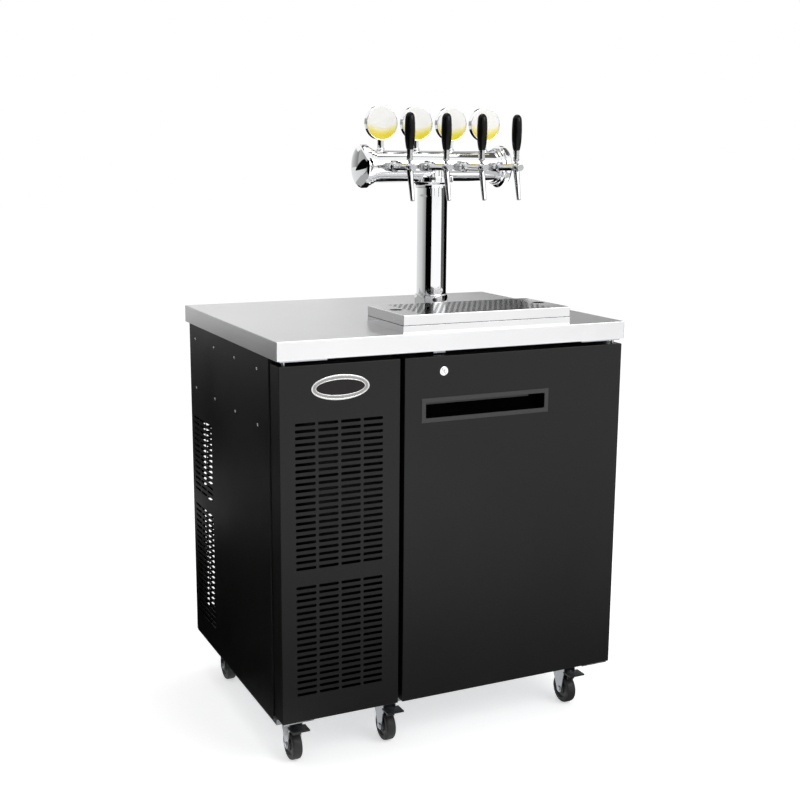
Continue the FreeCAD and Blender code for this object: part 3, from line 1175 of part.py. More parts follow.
doc.recompute()
for item in doc.Objects:
    if "Invalid" in item.State or "Error" in item.State:
        raise SystemExit("could not make %s: %s" % (item.Name, item.State))
for item in NODES:
    if item.Shape.isNull() or not item.Shape.isValid() or not item.Shape.Solids:
        raise SystemExit("not a valid solid: " + item.Label)
os.makedirs("parts", exist_ok=True)
for item in NODES:
    item.Shape.exportStep("parts/%s.step" % item.Label)
print(len(NODES), "sub-parts written")
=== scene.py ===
"""Draft beer cooler: a one-door keg cabinet on casters with a four-tap tower.

Run as a script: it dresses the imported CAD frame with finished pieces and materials.
Metres, X to the right, Y to the back, Z up. Sizes inside the functions are millimetres.
"""
import json
import math

import bmesh
import bpy
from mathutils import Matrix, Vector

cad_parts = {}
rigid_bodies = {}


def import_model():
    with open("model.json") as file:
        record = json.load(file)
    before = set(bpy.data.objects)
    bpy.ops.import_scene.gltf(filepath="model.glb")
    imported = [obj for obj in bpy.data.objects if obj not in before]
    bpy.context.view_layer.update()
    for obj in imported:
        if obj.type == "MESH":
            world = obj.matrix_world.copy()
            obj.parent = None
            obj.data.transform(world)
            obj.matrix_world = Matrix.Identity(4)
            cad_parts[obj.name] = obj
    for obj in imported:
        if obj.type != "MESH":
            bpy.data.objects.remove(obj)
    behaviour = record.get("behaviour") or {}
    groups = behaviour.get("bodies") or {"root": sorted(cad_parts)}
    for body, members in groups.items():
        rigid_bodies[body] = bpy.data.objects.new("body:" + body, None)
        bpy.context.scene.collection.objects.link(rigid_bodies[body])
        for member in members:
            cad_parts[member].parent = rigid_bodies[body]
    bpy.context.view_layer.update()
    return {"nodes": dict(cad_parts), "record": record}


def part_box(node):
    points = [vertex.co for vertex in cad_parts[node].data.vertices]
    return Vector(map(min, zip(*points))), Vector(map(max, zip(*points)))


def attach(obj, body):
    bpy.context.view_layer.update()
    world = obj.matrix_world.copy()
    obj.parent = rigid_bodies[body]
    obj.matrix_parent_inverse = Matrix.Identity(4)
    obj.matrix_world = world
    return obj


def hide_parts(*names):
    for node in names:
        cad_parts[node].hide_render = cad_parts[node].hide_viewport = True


bl_info = {
    "name": "Draft beer cooler",
    "version": (1, 0, 0),
    "blender": (4, 5, 0),
    "location": "3D View > Sidebar > Cooler",
    "description": "Finished pieces, materials and a studio for a draft beer cooler",
    "category": "Object",
}

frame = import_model()
NODES = frame["nodes"]
CABINET = next(body for body, nodes in
               frame["record"]["behaviour"]["bodies"].items() if "worktop" in nodes)

UNIT = 0.001
TURN = {"x": (0, math.pi / 2, 0), "y": (-math.pi / 2, 0, 0), "z": (0, 0, 0)}
# Punched vents: width and height of a slot, and the steps to the next column and row
SLOT = (48, 7)
PITCH = (54.5, 15)
# Thickness of the folded sheets
SHEET = 1.2
# Radii of the tower's tube, of its bore, and of the bores that fit over the tube
TUBE, BORE, FIT = 38.05, 36.55, 38.2


def box_of(node):
    """Low and high corners of a CAD node, in millimetres."""
    return [[round(value * 1000, 3) for value in corner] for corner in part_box(node)]


def middle_of(node, axes=(0, 1)):
    """Middle of a CAD node on some of its axes."""
    low, high = box_of(node)
    return [(low[axis] + high[axis]) / 2 for axis in axes]


def metres(parts):
    """Millimetres to metres."""
    return [part * UNIT for part in parts]


def radians(parts):
    """Degrees to radians."""
    return [math.radians(part) for part in parts]


# Colours
def linear(text):
    """Turn an sRGB hex colour to linear red, green, blue and alpha."""
    parts = [int(text[place:place + 2], 16) / 255 for place in (1, 3, 5)]
    return tuple([part / 12.92 if part <= 0.04045 else ((part + 0.055) / 1.055) ** 2.4
                  for part in parts] + [1.0])


def colour_choice(name, text, description):
    return bpy.props.FloatVectorProperty(name=name, description=description, subtype="COLOR",
                                         size=4, min=0, max=1, default=linear(text))


class CoolerFinishes(bpy.types.PropertyGroup):
    """Colours of the cooler's finishes."""
    steel: colour_choice("Stainless steel", "#E5E5E6", "Brushed worktop and drip tray")
    paint: colour_choice("Black paint", "#0D0D0D", "Powder coat of the cabinet and leaves")
    chrome: colour_choice("Chrome", "#F6F7F8", "Plated tower, taps and medallion cases")
    zinc: colour_choice("Zinc plate", "#B9BCC0", "Screws, hinges and caster forks")
    grip: colour_choice("Tap handles", "#0B0B0C", "Glossy black plastic of the tap handles")
    medallion: colour_choice("Medallion face", "#FBFAF6", "White part of the medallion faces")
    beer: colour_choice("Medallion foot", "#F7E11C", "Yellow that the medallion faces fade to")
    badge: colour_choice("Badge face", "#252223", "Bare face inside the badge's rim")
    liner: colour_choice("Door liner", "#E6E6E3", "Thermoformed inside of the door")


class CoolerSizes(bpy.types.PropertyGroup):
    """Sizes that only the finished pieces have."""
    worktop_edge: bpy.props.FloatProperty(
        name="Worktop bend", description="Outside radius of the worktop's folds",
        default=0.0022, min=0.0005, max=0.01, unit="LENGTH")
    leaf_edge: bpy.props.FloatProperty(
        name="Leaf bend", description="Outside radius of the folds of door and grille",
        default=0.0016, min=0.0005, max=0.01, unit="LENGTH")
    slot_corner: bpy.props.FloatProperty(
        name="Slot corner", description="Corner radius of the punched vents",
        default=0.0026, min=0.0005, max=0.0034, unit="LENGTH")
    knurls: bpy.props.IntProperty(
        name="Knurls", description="Teeth round each coupling nut", default=30, min=8, max=60)
    fin_pitch: bpy.props.FloatProperty(
        name="Fin pitch", description="Distance between two fins of the heat exchangers",
        default=0.004, min=0.002, max=0.02, unit="LENGTH")


def sizes():
    """The panel's sizes."""
    return bpy.context.scene.cooler_sizes


def finishes():
    """The panel's colours."""
    return bpy.context.scene.cooler_finishes


# Materials
def put(item, sockets):
    """Fill a node's sockets; each takes a value, a node, or a node and an output."""
    for name, value in sockets.items():
        source = value if isinstance(value, tuple) else (value, 0)
        if isinstance(source[0], bpy.types.Node):
            item.id_data.links.new(source[0].outputs[source[1]], item.inputs[name])
        else:
            item.inputs[name].default_value = value


def add(tree, kind, sockets=None, **settings):
    """Add a node with its settings and sockets."""
    item = tree.nodes.new(kind)
    for name, value in settings.items():
        setattr(item, name, value)
    put(item, sockets or {})
    return item


def ramp(tree, source, stops):
    """A colour ramp from (place, colour) stops."""
    item = add(tree, "ShaderNodeValToRGB", {"Fac": source})
    points = item.color_ramp.elements
    while len(points) < len(stops):
        points.new(0.5)
    for point, (place, colour) in zip(points, stops):
        point.position = place
        point.color = colour
    return item


def compute(tree, operation, first, second):
    """One step of arithmetic."""
    return add(tree, "ShaderNodeMath", {0: first, 1: second}, operation=operation)


def mapped(tree, value, start, end, low=0.0, high=1.0):
    """A value taken from the range start to end over to the range low to high."""
    return add(tree, "ShaderNodeMapRange", {
        "Value": value, "From Min": start, "From Max": end, "To Min": low, "To Max": high})


def seen(tree):
    """1 for rays from the camera, mirrors and glass, 0 for those that only carry light."""
    path = add(tree, "ShaderNodeLightPath")
    mirrored = compute(tree, "MAXIMUM", (path, "Is Camera Ray"), (path, "Is Glossy Ray"))
    return compute(tree, "MAXIMUM", mirrored, (path, "Is Transmission Ray"))


def shade(colour, factor):
    """A linear colour made darker or lighter."""
    return tuple([min(1.0, part * factor) for part in colour[:3]] + [1.0])


def start_material(name):
    """A new material with its tree cleared to its output and coordinates."""
    material = bpy.data.materials.new(name)
    material.use_nodes = True
    tree = material.node_tree
    tree.nodes.clear()
    output = add(tree, "ShaderNodeOutputMaterial")
    return material, tree, output, add(tree, "ShaderNodeTexCoord")


def surface(name, tone, metallic, rough, grain, depth, factor=1.0, ior=None, stretch=(1, 1, 1),
            spread=0.06, patch=60, rough_spread=0.05, pattern="noise", coat=0.0, specular=0.5):
    """A surface with a fine relief and slow changes of tone and gloss.

    tone is a hex colour or one of the panel's finishes, factor makes it darker or lighter,
    grain is the relief's size in millimetres, depth its height, patch the tone's size.
    """
    material, tree, output, place = start_material(name)
    colour = shade(linear(tone) if tone[0] == "#" else getattr(finishes(), tone), factor)
    coordinates = (place, "Object")
    stretched = add(tree, "ShaderNodeMapping", {"Vector": coordinates, "Scale": stretch})
    sockets = {"Vector": stretched, "Scale": 1000 / grain}
    if pattern == "noise":
        relief = add(tree, "ShaderNodeTexNoise", {**sockets, "Detail": 3.0, "Roughness": 0.55})
    else:
        relief = add(tree, "ShaderNodeTexVoronoi", sockets, feature="F1")
    clouds = add(tree, "ShaderNodeTexNoise", {
        "Vector": coordinates, "Scale": 1000 / patch, "Detail": 2.0})
    colours = ramp(tree, clouds, [
        (0.3, shade(colour, 1 - spread)), (0.7, shade(colour, 1 + spread))])
    if pattern == "spangle":
        colours = ramp(tree, (relief, "Color"), [
            (0.2, shade(colour, 0.82)), (0.8, shade(colour, 1.15))])
    sockets = {
        "Base Color": colours, "Metallic": metallic, "Specular IOR Level": specular,
        "Roughness": mapped(tree, clouds, 0.3, 0.7, max(0.0, rough - rough_spread),
                            rough + rough_spread),
        "Normal": add(tree, "ShaderNodeBump", {
            "Height": relief, "Strength": 0.5, "Distance": depth / 1000})}
    if ior:
        sockets["IOR"] = ior
    if coat:
        sockets.update({"Coat Weight": coat, "Coat Roughness": 0.08})
    put(output, {"Surface": add(tree, "ShaderNodeBsdfPrincipled", sockets)})
    return material


def medallion_material(faces):
    """Enamel face under clear acrylic: white, fading to yellow in a bowl at the foot."""
    material, tree, output, place = start_material("enamelled_face")
    apart = add(tree, "ShaderNodeSeparateXYZ", {"Vector": (place, "Object")})
    pitch = (faces[3][0] - faces[0][0]) / 3
    # The four faces are evenly spaced, so one wrapped X gives each its own middle
    across = compute(tree, "SUBTRACT", (apart, "X"), faces[0][0] - pitch / 2)
    wrapped = compute(tree, "MODULO", across, pitch)
    centred = compute(tree, "SUBTRACT", wrapped, pitch / 2)
    square = compute(tree, "POWER", centred, 2.0)
    # The yellow rises to both sides, and fades over the 40 mm below the face's middle
    bowl = compute(tree, "MULTIPLY", square, -9.0)
    height = compute(tree, "ADD", (apart, "Z"), bowl)
    level = mapped(tree, height, faces[0][2] - 0.04, faces[0][2])
    grain = add(tree, "ShaderNodeTexNoise", {
        "Vector": (place, "Object"), "Scale": 260.0, "Detail": 2.0})
    colours = ramp(tree, level, [
        (0.0, shade(finishes().beer, 0.96)), (0.3, finishes().beer),
        (0.55, linear("#FAF1A8")), (0.78, finishes().medallion)])
    put(output, {"Surface": add(tree, "ShaderNodeBsdfPrincipled", {
        "Base Color": colours, "Roughness": mapped(tree, grain, 0.0, 1.0, 0.16, 0.24),
        "IOR": 1.49, "Coat Weight": 0.6, "Coat Roughness": 0.04})})
    return material


def finish_of(name):
    """The finished material of that name, made the first time it is asked for."""
    if name not in MADE:
        *values, extra = RECIPES[name]
        MADE[name] = surface(name, *values, **extra)
        MADE[name].name = name
    return MADE[name]


MADE = {}
# Tone, metallic, roughness, grain, relief's height, and what else surface() is told
RECIPES = {
    # 304 sheet with a No. 4 finish: fine lines along the worktop, soft wide reflections
    "brushed_stainless": ("steel", 1.0, 0.34, 1.6, 0.05, dict(
        stretch=(0.03, 1, 1), spread=0.02, patch=180, rough_spread=0.03)),
    # Tray steel: the same sheet polished, so it mirrors the column, and made 6% lighter as
    # painted light
    "polished_stainless": ("steel", 1.0, 0.13, 1.6, 0.01, dict(
        factor=1.06, stretch=(0.03, 1, 1), spread=0.02, patch=120, rough_spread=0.02)),
    # Polyester powder coat on steel: satin black with a fine orange peel
    "black_powder_coat": ("paint", 0.0, 0.4, 2.4, 0.06, dict(
        ior=1.5, spread=0.05, patch=240, specular=0.3)),
    # Bright chromium over nickel: a mirror with a trace of polishing haze
    "bright_chrome": ("chrome", 1.0, 0.035, 7.0, 0.004, dict(
        spread=0.01, patch=50, rough_spread=0.015)),
    # Chromium on brass castings: polished less flat than the tubes, and darkened to 0.6 as
    # painted shade
    "cast_chrome": ("chrome", 1.0, 0.07, 9.0, 0.02, dict(
        factor=0.6, spread=0.03, patch=16, rough_spread=0.03)),
    # Chromium over knurling: the teeth break the mirror up, and the chrome darkened to 0.36 adds
    # painted shade
    "knurled_chrome": ("chrome", 1.0, 0.2, 2.0, 0.02, dict(factor=0.36, spread=0.03, patch=12)),
    # Zinc plated steel: cool grey, half gloss
    "zinc_plate": ("zinc", 1.0, 0.3, 1.6, 0.03, dict(patch=18, rough_spread=0.08)),
    # Hot-dip galvanised sheet: flat crystals some 9 mm across
    "galvanised_sheet": ("#9FA3A6", 1.0, 0.46, 9.0, 0.03, dict(
        pattern="spangle", rough_spread=0.08)),
    # Moulded phenolic handle: deep black, polished
    "black_phenolic": ("grip", 0.0, 0.16, 6.0, 0.01, dict(
        ior=1.5, spread=0.1, patch=20, rough_spread=0.03, specular=0.16)),
    # Injection moulded ABS: fine spark-eroded texture, satin
    "textured_black_abs": ("#2B2B2C", 0.0, 0.46, 1.4, 0.06, dict(ior=1.53, patch=40)),
    # The pocket behind the handle: the same plastic, with its shade painted in as near-black
    "pocket_black_abs": ("#020202", 0.0, 0.8, 1.4, 0.06, dict(
        ior=1.5, spread=0.1, patch=40, specular=0.03)),
    # Acetal pedal: smooth and slightly waxy
    "black_acetal": ("#151516", 0.0, 0.32, 2.2, 0.03, dict(ior=1.48, spread=0.08, patch=20)),
    # Polyurethane tyre: matt, scuffed tread
    "polyurethane_tread": ("#1E1E1F", 0.0, 0.62, 1.8, 0.12, dict(
        ior=1.5, spread=0.22, patch=9, rough_spread=0.12)),
    # Flexible PVC: matt black, slightly dusty
    "soft_pvc": ("#1B1B1C", 0.0, 0.58, 3.0, 0.05, dict(
        ior=1.53, spread=0.15, patch=25, rough_spread=0.08)),
    # Stucco-embossed aluminium liner: hammered relief some 5 mm across
    "stucco_aluminium": ("#C9CCCE", 1.0, 0.36, 5.0, 0.35, dict(
        spread=0.03, patch=90, pattern="cells")),
    # Thermoformed high-impact polystyrene: white, softly glossy with a faint ripple
    "formed_white_plastic": ("liner", 0.0, 0.3, 14.0, 0.06, dict(
        ior=1.59, spread=0.015, patch=150)),
    # Blown polyurethane foam: cream, open cells where it was cut
    "cut_foam": ("#E2D39C", 0.0, 0.85, 2.2, 0.5, dict(
        ior=1.5, spread=0.07, patch=35, pattern="cells")),
    # Rolled aluminium fins: thin bright edges, dull between
    "fin_aluminium": ("#B4B8BA", 1.0, 0.4, 2.6, 0.04, dict(patch=40)),
    # Condenser fins dipped in black lacquer: matt, slightly dusty
    "coated_fins": ("#161617", 0.0, 0.6, 2.6, 0.04, dict(
        ior=1.5, spread=0.15, patch=30, rough_spread=0.1)),
    # Baked enamel on a deep-drawn pot: gloss black
    "black_enamel": ("#141415", 0.0, 0.2, 5.0, 0.03, dict(ior=1.52, spread=0.1, coat=0.3)),
    # Food-grade PVC hose: milky, smooth
    "milky_hose": ("#D9DCD4", 0.0, 0.22, 4.0, 0.01, dict(ior=1.52, spread=0.04, patch=30)),
    # Satin aluminium of the badge's rims and the screws: domed, half gloss
    "satin_aluminium": ("#D8D9DA", 1.0, 0.24, 1.2, 0.02, dict(
        spread=0.04, patch=12, rough_spread=0.06)),
    # The badge's sunk band: etched dull grey
    "etched_aluminium": ("#9B9996", 1.0, 0.42, 0.9, 0.03, dict(
        spread=0.08, patch=6, rough_spread=0.06)),
    # Screen-printed lacquer inside the badge's rim: smooth near-black
    "badge_lacquer": ("badge", 0.0, 0.22, 6.0, 0.01, dict(
        ior=1.5, spread=0.05, patch=20, specular=0.16)),
}


# Modelling
def clear():
    """Leave edit mode and deselect everything."""
    if bpy.context.object and bpy.context.object.mode != "OBJECT":
        bpy.ops.object.mode_set(mode="OBJECT")
    bpy.ops.object.select_all(action="DESELECT")


def choose(piece):
    """Make one piece the only selected and the active one."""
    clear()
    piece.select_set(True)
    bpy.context.view_layer.objects.active = piece


def named(name):
    """Name the new primitive, and put its place and turn into its mesh."""
    piece = bpy.context.object
    piece.name = piece.data.name = name
    bpy.ops.object.transform_apply(location=True, rotation=True, scale=True)
    return piece


def edit(piece, kind="FACE"):
    """Open a piece in edit mode with nothing selected."""
    choose(piece)
    bpy.ops.object.mode_set(mode="EDIT")
    bpy.ops.mesh.select_mode(type=kind)
    bpy.ops.mesh.select_all(action="DESELECT")


def take_all():
    """Select everything in the open piece."""
    bpy.ops.mesh.select_all(action="SELECT")


def outward():
    """Turn every face outwards."""
    take_all()
    bpy.ops.mesh.normals_make_consistent(inside=False)


def weld(gap):
    """Merge all points that are closer than a gap in metres."""
    take_all()
    bpy.ops.mesh.remove_doubles(threshold=gap)


def pick(test, kind="FACE", extend=False):
    """Select faces, edges or points by their middle, in millimetres, and their direction."""
    bpy.ops.mesh.select_mode(type=kind)
    if not extend:
        bpy.ops.mesh.select_all(action="DESELECT")
    data = bpy.context.object.data
    mesh = bmesh.from_edit_mesh(data)
    if kind == "FACE":
        items = [(face, face.calc_center_median(), face.normal) for face in mesh.faces]
    elif kind == "EDGE":
        items = [(edge, (edge.verts[0].co + edge.verts[1].co) / 2,
                  (edge.verts[1].co - edge.verts[0].co).normalized()) for edge in mesh.edges]
    else:
        items = [(point, point.co, point.normal) for point in mesh.verts]
    chosen = [item for item, middle, direction in items if test(middle / UNIT, direction)]
    if not chosen:
        raise RuntimeError("nothing to select on " + bpy.context.object.name)
    for item in chosen:
        item.select_set(True)
    bmesh.update_edit_mesh(data)


def drop(test):
    """Delete the faces that a test picks."""
    pick(test)
    bpy.ops.mesh.delete(type="FACE")


def round_edges(test, radius, segments):
    """Round the edges that a test picks."""
    pick(test, "EDGE")
    bpy.ops.mesh.bevel(offset=radius * UNIT, segments=segments, affect="EDGES")


def near(a, b, gap=0.02):
    """Whether two measures agree, in millimetres."""
    return abs(a - b) < gap


def push(x=0, y=0, z=0):
    """Extrude what is selected by so many millimetres."""
    bpy.ops.mesh.extrude_region_move(TRANSFORM_OT_translate={"value": metres((x, y, z))})


def stretch(x, y, z, middle):
    """Scale what is selected about a point given in millimetres."""
    bpy.ops.transform.resize(value=(x, y, z), center_override=metres(middle))


def block(name, low, high):
    """A box between two corners."""
    clear()
    bpy.ops.mesh.primitive_cube_add(
        size=1, location=metres((a + b) / 2 for a, b in zip(low, high)))
    bpy.ops.transform.resize(value=metres(b - a for a, b in zip(low, high)))
    return named(name)


def opened(name, low, high, test):
    """A box without the faces that a test picks, left in edit mode."""
    piece = block(name, low, high)
    edit(piece)
    drop(test)
    return piece


def plane(name, place, size, turn=(0, 0, 0)):
    """A rectangle, its place and size in metres."""
    clear()
    bpy.ops.mesh.primitive_plane_add(size=1, location=place, rotation=turn)
    bpy.ops.transform.resize(value=size)
    return named(name)


def hoop(name, radius, place, sides, turn=(0, 0, 0), size=None):
    """A ring of edges, its radius and place in metres."""
    clear()
    bpy.ops.mesh.primitive_circle_add(vertices=sides, radius=radius, fill_type="NOTHING",
                                      location=place, rotation=turn)
    if size:
        bpy.ops.transform.resize(value=size)
    return named(name)


def along(axis, place, across):
    """A point from its place on one axis and its two places on the others."""
    rest = list(across)
    return [place if letter == axis else rest.pop(0) for letter in "xyz"]


def turned(name, axis, across, profile, sides=64):
    """A round piece drawn out ring by ring from (place, radius) steps along its axis."""
    pole = profile[0][1] == 0
    here, radius = first = profile[1] if pole else profile[0]
    piece = hoop(name, radius * UNIT, metres(along(axis, here, across)), sides, TURN[axis])
    bpy.ops.object.mode_set(mode="EDIT")
    bpy.ops.mesh.select_mode(type="EDGE")
    letter = "xyz".index(axis)

    def step_to(place, wide):
        move = [0, 0, 0]
        move[letter] = place - here
        push(*move)
        if wide == 0:
            bpy.ops.mesh.merge(type="CENTER")
        elif wide != radius:
            factor = [wide / radius] * 3
            factor[letter] = 1
            stretch(*factor, along(axis, place, across))

    take_all()
    if pole:
        step_to(*profile[0])
        pick(lambda middle, direction: near(middle[letter], first[0])
             and math.dist(middle, along(axis, middle[letter], across)) > first[1] * 0.7, "EDGE")
    for place, wide in profile[2 if pole else 1:]:
        step_to(place, wide)
        here, radius = place, wide
    outward()
    bpy.ops.object.mode_set(mode="OBJECT")
    return piece


def looped(name, axis, across, profile, sides=64):
    """A hollow round piece: the last ring is joined back to the first."""
    piece = turned(name, axis, across, profile + [profile[0]], sides)
    edit(piece, "VERT")
    weld(1e-6)
    bpy.ops.mesh.normals_make_consistent(inside=False)
    clear()
    return piece


def at(base, steps, sign=1):
    """Profile steps whose places are counted from a base."""
    return [(base + sign * place, radius) for place, radius in steps]


def arc(centre, rise, radius, start, sweep, parts):
    """Profile steps on an ellipse, by degrees from its widest ring."""
    turns = radians(start + sweep * part / parts for part in range(parts + 1))
    return [(centre + rise * math.sin(turn), radius * math.cos(turn)) for turn in turns]


def both_ways(half, middle=()):
    """A profile and its mirror image about place 0."""
    return half + list(middle) + [(-place, radius) for place, radius in reversed(half)]


def flowing(points, parts=5):
    """More (place, radius) steps on a smooth line through the given ones."""
    steps = []
    for index in range(len(points) - 1):
        before = points[max(index - 1, 0)]
        start, end = points[index], points[index + 1]
        after = points[min(index + 2, len(points) - 1)]
        for part in range(parts):
            t = part / parts
            steps.append(tuple(
                0.5 * (2 * b + (c - a) * t + (2 * a - 5 * b + 4 * c - d) * t ** 2
                       + (3 * b - a - 3 * c + d) * t ** 3)
                for a, b, c, d in zip(before, start, end, after)))
    return steps + [points[-1]]


def modify(piece, kind, **settings):
    """Add one modifier and apply it."""
    choose(piece)
    modifier = piece.modifiers.new(kind.lower(), kind)
    for name, value in settings.items():
        setattr(modifier, name, value)
    bpy.ops.object.modifier_apply(modifier=modifier.name)
    return piece


def soften(piece, width, segments=2, angle=35):
    """Round every edge sharper than an angle."""
    return modify(piece, "BEVEL", width=width * UNIT, segments=segments, limit_method="ANGLE",
                  angle_limit=math.radians(angle))


def thicken(piece, sheet=SHEET):
    """Give a sheet its thickness, inwards."""
    return modify(piece, "SOLIDIFY", thickness=sheet * UNIT, offset=-1, use_even_offset=True)


def row(piece, count, x=0, y=0, z=0):
    """Repeat a piece at a fixed step."""
    return modify(piece, "ARRAY", count=count, use_relative_offset=False,
                  use_constant_offset=True, constant_offset_displace=metres((x, y, z)))


def copy_to(piece, name, x=0, y=0, z=0):
    """A copy with its own mesh, moved by millimetres."""
    choose(piece)
    bpy.ops.object.duplicate(linked=False)
    bpy.context.object.location = metres((x, y, z))
    return named(name)


def stand(piece, turn, place):
    """Turn a flat piece up and move it to its place, in degrees and millimetres."""
    choose(piece)
    piece.rotation_euler = radians(turn)
    piece.location = metres(place)
    bpy.ops.object.transform_apply(location=True, rotation=True, scale=True)
    return piece


def discard(*pieces):
    """Remove pieces that were only tools or patterns."""
    for piece in pieces:
        bpy.data.objects.remove(piece, do_unlink=True)


def carve(piece, cutter):
    """Take a cutter's shape out of a piece, and remove the cutter."""
    modify(piece, "BOOLEAN", object=cutter, operation="DIFFERENCE", solver="EXACT")
    discard(cutter)


def joined(name, pieces):
    """One piece from several."""
    clear()
    for piece in pieces:
        piece.select_set(True)
    bpy.context.view_layer.objects.active = pieces[0]
    bpy.ops.object.join()
    piece = bpy.context.object
    piece.name = piece.data.name = name
    return piece


def done(piece, body, finish, node, smooth=35):
    """Smooth a piece, give it its finish, hang it on the body it rides on, and hide the CAD node
    it stands for.
    """
    choose(piece)
    bpy.ops.object.shade_smooth_by_angle(angle=math.radians(smooth))
    # Weighted normals keep the flat faces flat beside their rounded edges
    modify(piece, "WEIGHTED_NORMAL", mode="FACE_AREA", keep_sharp=True)
    piece.data.materials.clear()
    piece.data.materials.append(finish_of(finish))
    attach(piece, body)
    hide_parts(node)
    clear()


def reuse(name, node, edge, body, finish, segments=2, angle=40):
    """Finish a copy of a CAD node with its triangles merged and its edges rounded."""
    choose(NODES[node])
    bpy.ops.object.duplicate(linked=False)
    piece = bpy.context.object
    for key in [key for key in piece.keys() if key.startswith("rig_")]:
        del piece[key]
    bpy.ops.object.parent_clear(type="CLEAR")
    piece.name = piece.data.name = name
    edit(piece, "VERT")
    weld(2e-6)
    bpy.ops.mesh.dissolve_limited(angle_limit=math.radians(1))
    if piece.data.has_custom_normals:
        bpy.ops.mesh.customdata_custom_splitnormals_clear()
    done(soften(piece, edge, segments, angle), body, finish, node)


def dress(finish, *nodes):
    """Give CAD nodes a finish."""
    for node in nodes:
        materials = NODES[node].data.materials
        for place in range(len(materials)):
            materials[place] = finish_of(finish)
        if not materials:
            materials.append(finish_of(finish))


def slotted(name, left, right, low, high, first, columns, blocks):
    """A flat sheet in X and Y with blocks of punched slots, made from one repeated tile.

    first is the left end of the first slot; blocks are (rows, middle of the top row).
    """
    start = first - (PITCH[0] - SLOT[0]) / 2
    centre, end = start + PITCH[0] / 2, start + columns * PITCH[0]
    rim = 0.001
    parts = []
    for rows, top in blocks:
        tile = plane(name + "_tile", (centre * UNIT, top * UNIT, 0), (*metres(PITCH), 1))
        bpy.ops.object.mode_set(mode="EDIT")
        take_all()
        bpy.ops.mesh.inset(thickness=rim * UNIT, depth=0)
        # The inset keeps the inner face selected; it becomes the slot
        stretch(SLOT[0] / (PITCH[0] - 2 * rim), SLOT[1] / (PITCH[1] - 2 * rim), 1,
                (centre, top, 0))
        bpy.ops.mesh.bevel(offset=sizes().slot_corner, segments=2, affect="VERTICES")
        drop(lambda middle, direction: near(middle.x, centre, 1) and near(middle.y, top, 1))
        row(tile, columns, x=PITCH[0])
        parts.append(row(tile, rows, y=-PITCH[1]))
    sheet = joined(name, parts)
    edit(sheet, "VERT")
    weld(1e-5)
    # Plain strips fill the gaps between the blocks and reach to the four borders
    tops = [top + PITCH[1] / 2 for rows, top in blocks]
    feet = [top - (rows - 0.5) * PITCH[1] for rows, top in blocks]
    for edge, goal in [*zip(feet, tops[1:]), (tops[0], high), (feet[-1], low)]:
        pick(lambda middle, direction: near(middle.y, edge), "EDGE")
        push(y=goal - edge)
    weld(1e-5)
    for edge, goal in ((start, left), (end, right)):
        pick(lambda middle, direction: near(middle.x, edge), "EDGE")
        push(x=goal - edge)
    outward()
    clear()
    return sheet


def fold_round(piece, left, right, low, high, depth):
    """Fold the four borders of a flat sheet back, with rounded bends."""
    def on_sides(middle):
        return near(middle.x, left) or near(middle.x, right)

    def on_ends(middle):
        return near(middle.y, low) or near(middle.y, high)

    edit(piece)
    pick(lambda middle, direction: on_sides(middle) or on_ends(middle), "EDGE")
    push(z=-depth)
    pick(lambda middle, direction: near(middle.z, 0)
         and (on_sides(middle) or on_ends(middle)), "EDGE")
    pick(lambda middle, direction: abs(direction.z) > 0.9
         and on_sides(middle) and on_ends(middle), "EDGE", extend=True)
    bpy.ops.mesh.bevel(offset=sizes().leaf_edge, segments=3, affect="EDGES")
    clear()


def inset_to(low, high):
    """Inset the selected rectangle, then fit it to a range; None leaves an axis alone."""
    bpy.ops.mesh.inset(thickness=0.05 * UNIT, depth=0)
    points = [point.co / UNIT for point in
              bmesh.from_edit_mesh(bpy.context.object.data).verts if point.select]
    factor, move, middle = [1, 1, 1], [0, 0, 0], [0, 0, 0]
    for axis in range(3):
        least, most = min(p[axis] for p in points), max(p[axis] for p in points)
        middle[axis] = (least + most) / 2
        if low[axis] is not None:
            factor[axis] = (high[axis] - low[axis]) / (most - least)
            move[axis] = ((high[axis] + low[axis]) / 2 - middle[axis]) * UNIT
    stretch(*factor, middle)
    bpy.ops.transform.translate(value=move)


def ovals(name, middle, rings, filled=False, sides=96):
    """Oval rings facing the front, each (y, half width, half height), joined in order."""
    place, wide, tall = metres(rings[0])
    piece = hoop(name, 1, (middle[0] * UNIT, place, middle[1] * UNIT), sides, TURN["y"],
                 (wide, 1, tall))
    bpy.ops.object.mode_set(mode="EDIT")
    bpy.ops.mesh.select_mode(type="EDGE")
    take_all()
    for before, ring in zip(rings, rings[1:]):
        push(y=ring[0] - before[0])
        stretch(ring[1] / before[1], 1, ring[2] / before[2], (middle[0], ring[0], middle[1]))
    if filled:
        push()
        bpy.ops.mesh.merge(type="CENTER")
    outward()
    clear()
    return piece


def bar_core():
    """The bar's outer cylinder, a cutter for what meets it."""
    low, high = box_of("tower_bar")
    reach = (high[2] - low[2]) / 2
    return turned("bar_core", "x", middle_of("tower_bar", (1, 2)), [
        (low[0], 0), (low[0], reach), (high[0], reach), (high[0], 0)], 96)


def tap_places():
    """Middles of the four taps in X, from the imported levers."""
    return [middle_of("tap_lever_%d" % index)[0] for index in (1, 2, 3, 4)]


def at_taps(piece, stem, places):
    """A piece of the first tap and its copies for the other three."""
    return [piece] + [copy_to(piece, "%s_%d" % (stem, index), x=place - places[0])
                      for index, place in enumerate(places[1:], start=2)]


def zigzag_fin(name, low, high, folds=6, ripple=0.9):
    """One upright fin across X, pressed into a shallow zigzag."""
    fin = plane(name, metres((a + b) / 2 for a, b in zip(low, high)),
                (1, *metres((high[1] - low[1], high[2] - low[2]))), TURN["x"])
    edit(fin)
    take_all()
    bpy.ops.mesh.subdivide(number_cuts=folds - 1)
    step = (high[1] - low[1]) / folds
    pick(lambda point, direction: round((point.y - low[1]) / step) % 2 == 1, "VERT")
    bpy.ops.transform.translate(value=(ripple * UNIT, 0, 0))
    return thicken(fin, 0.25)


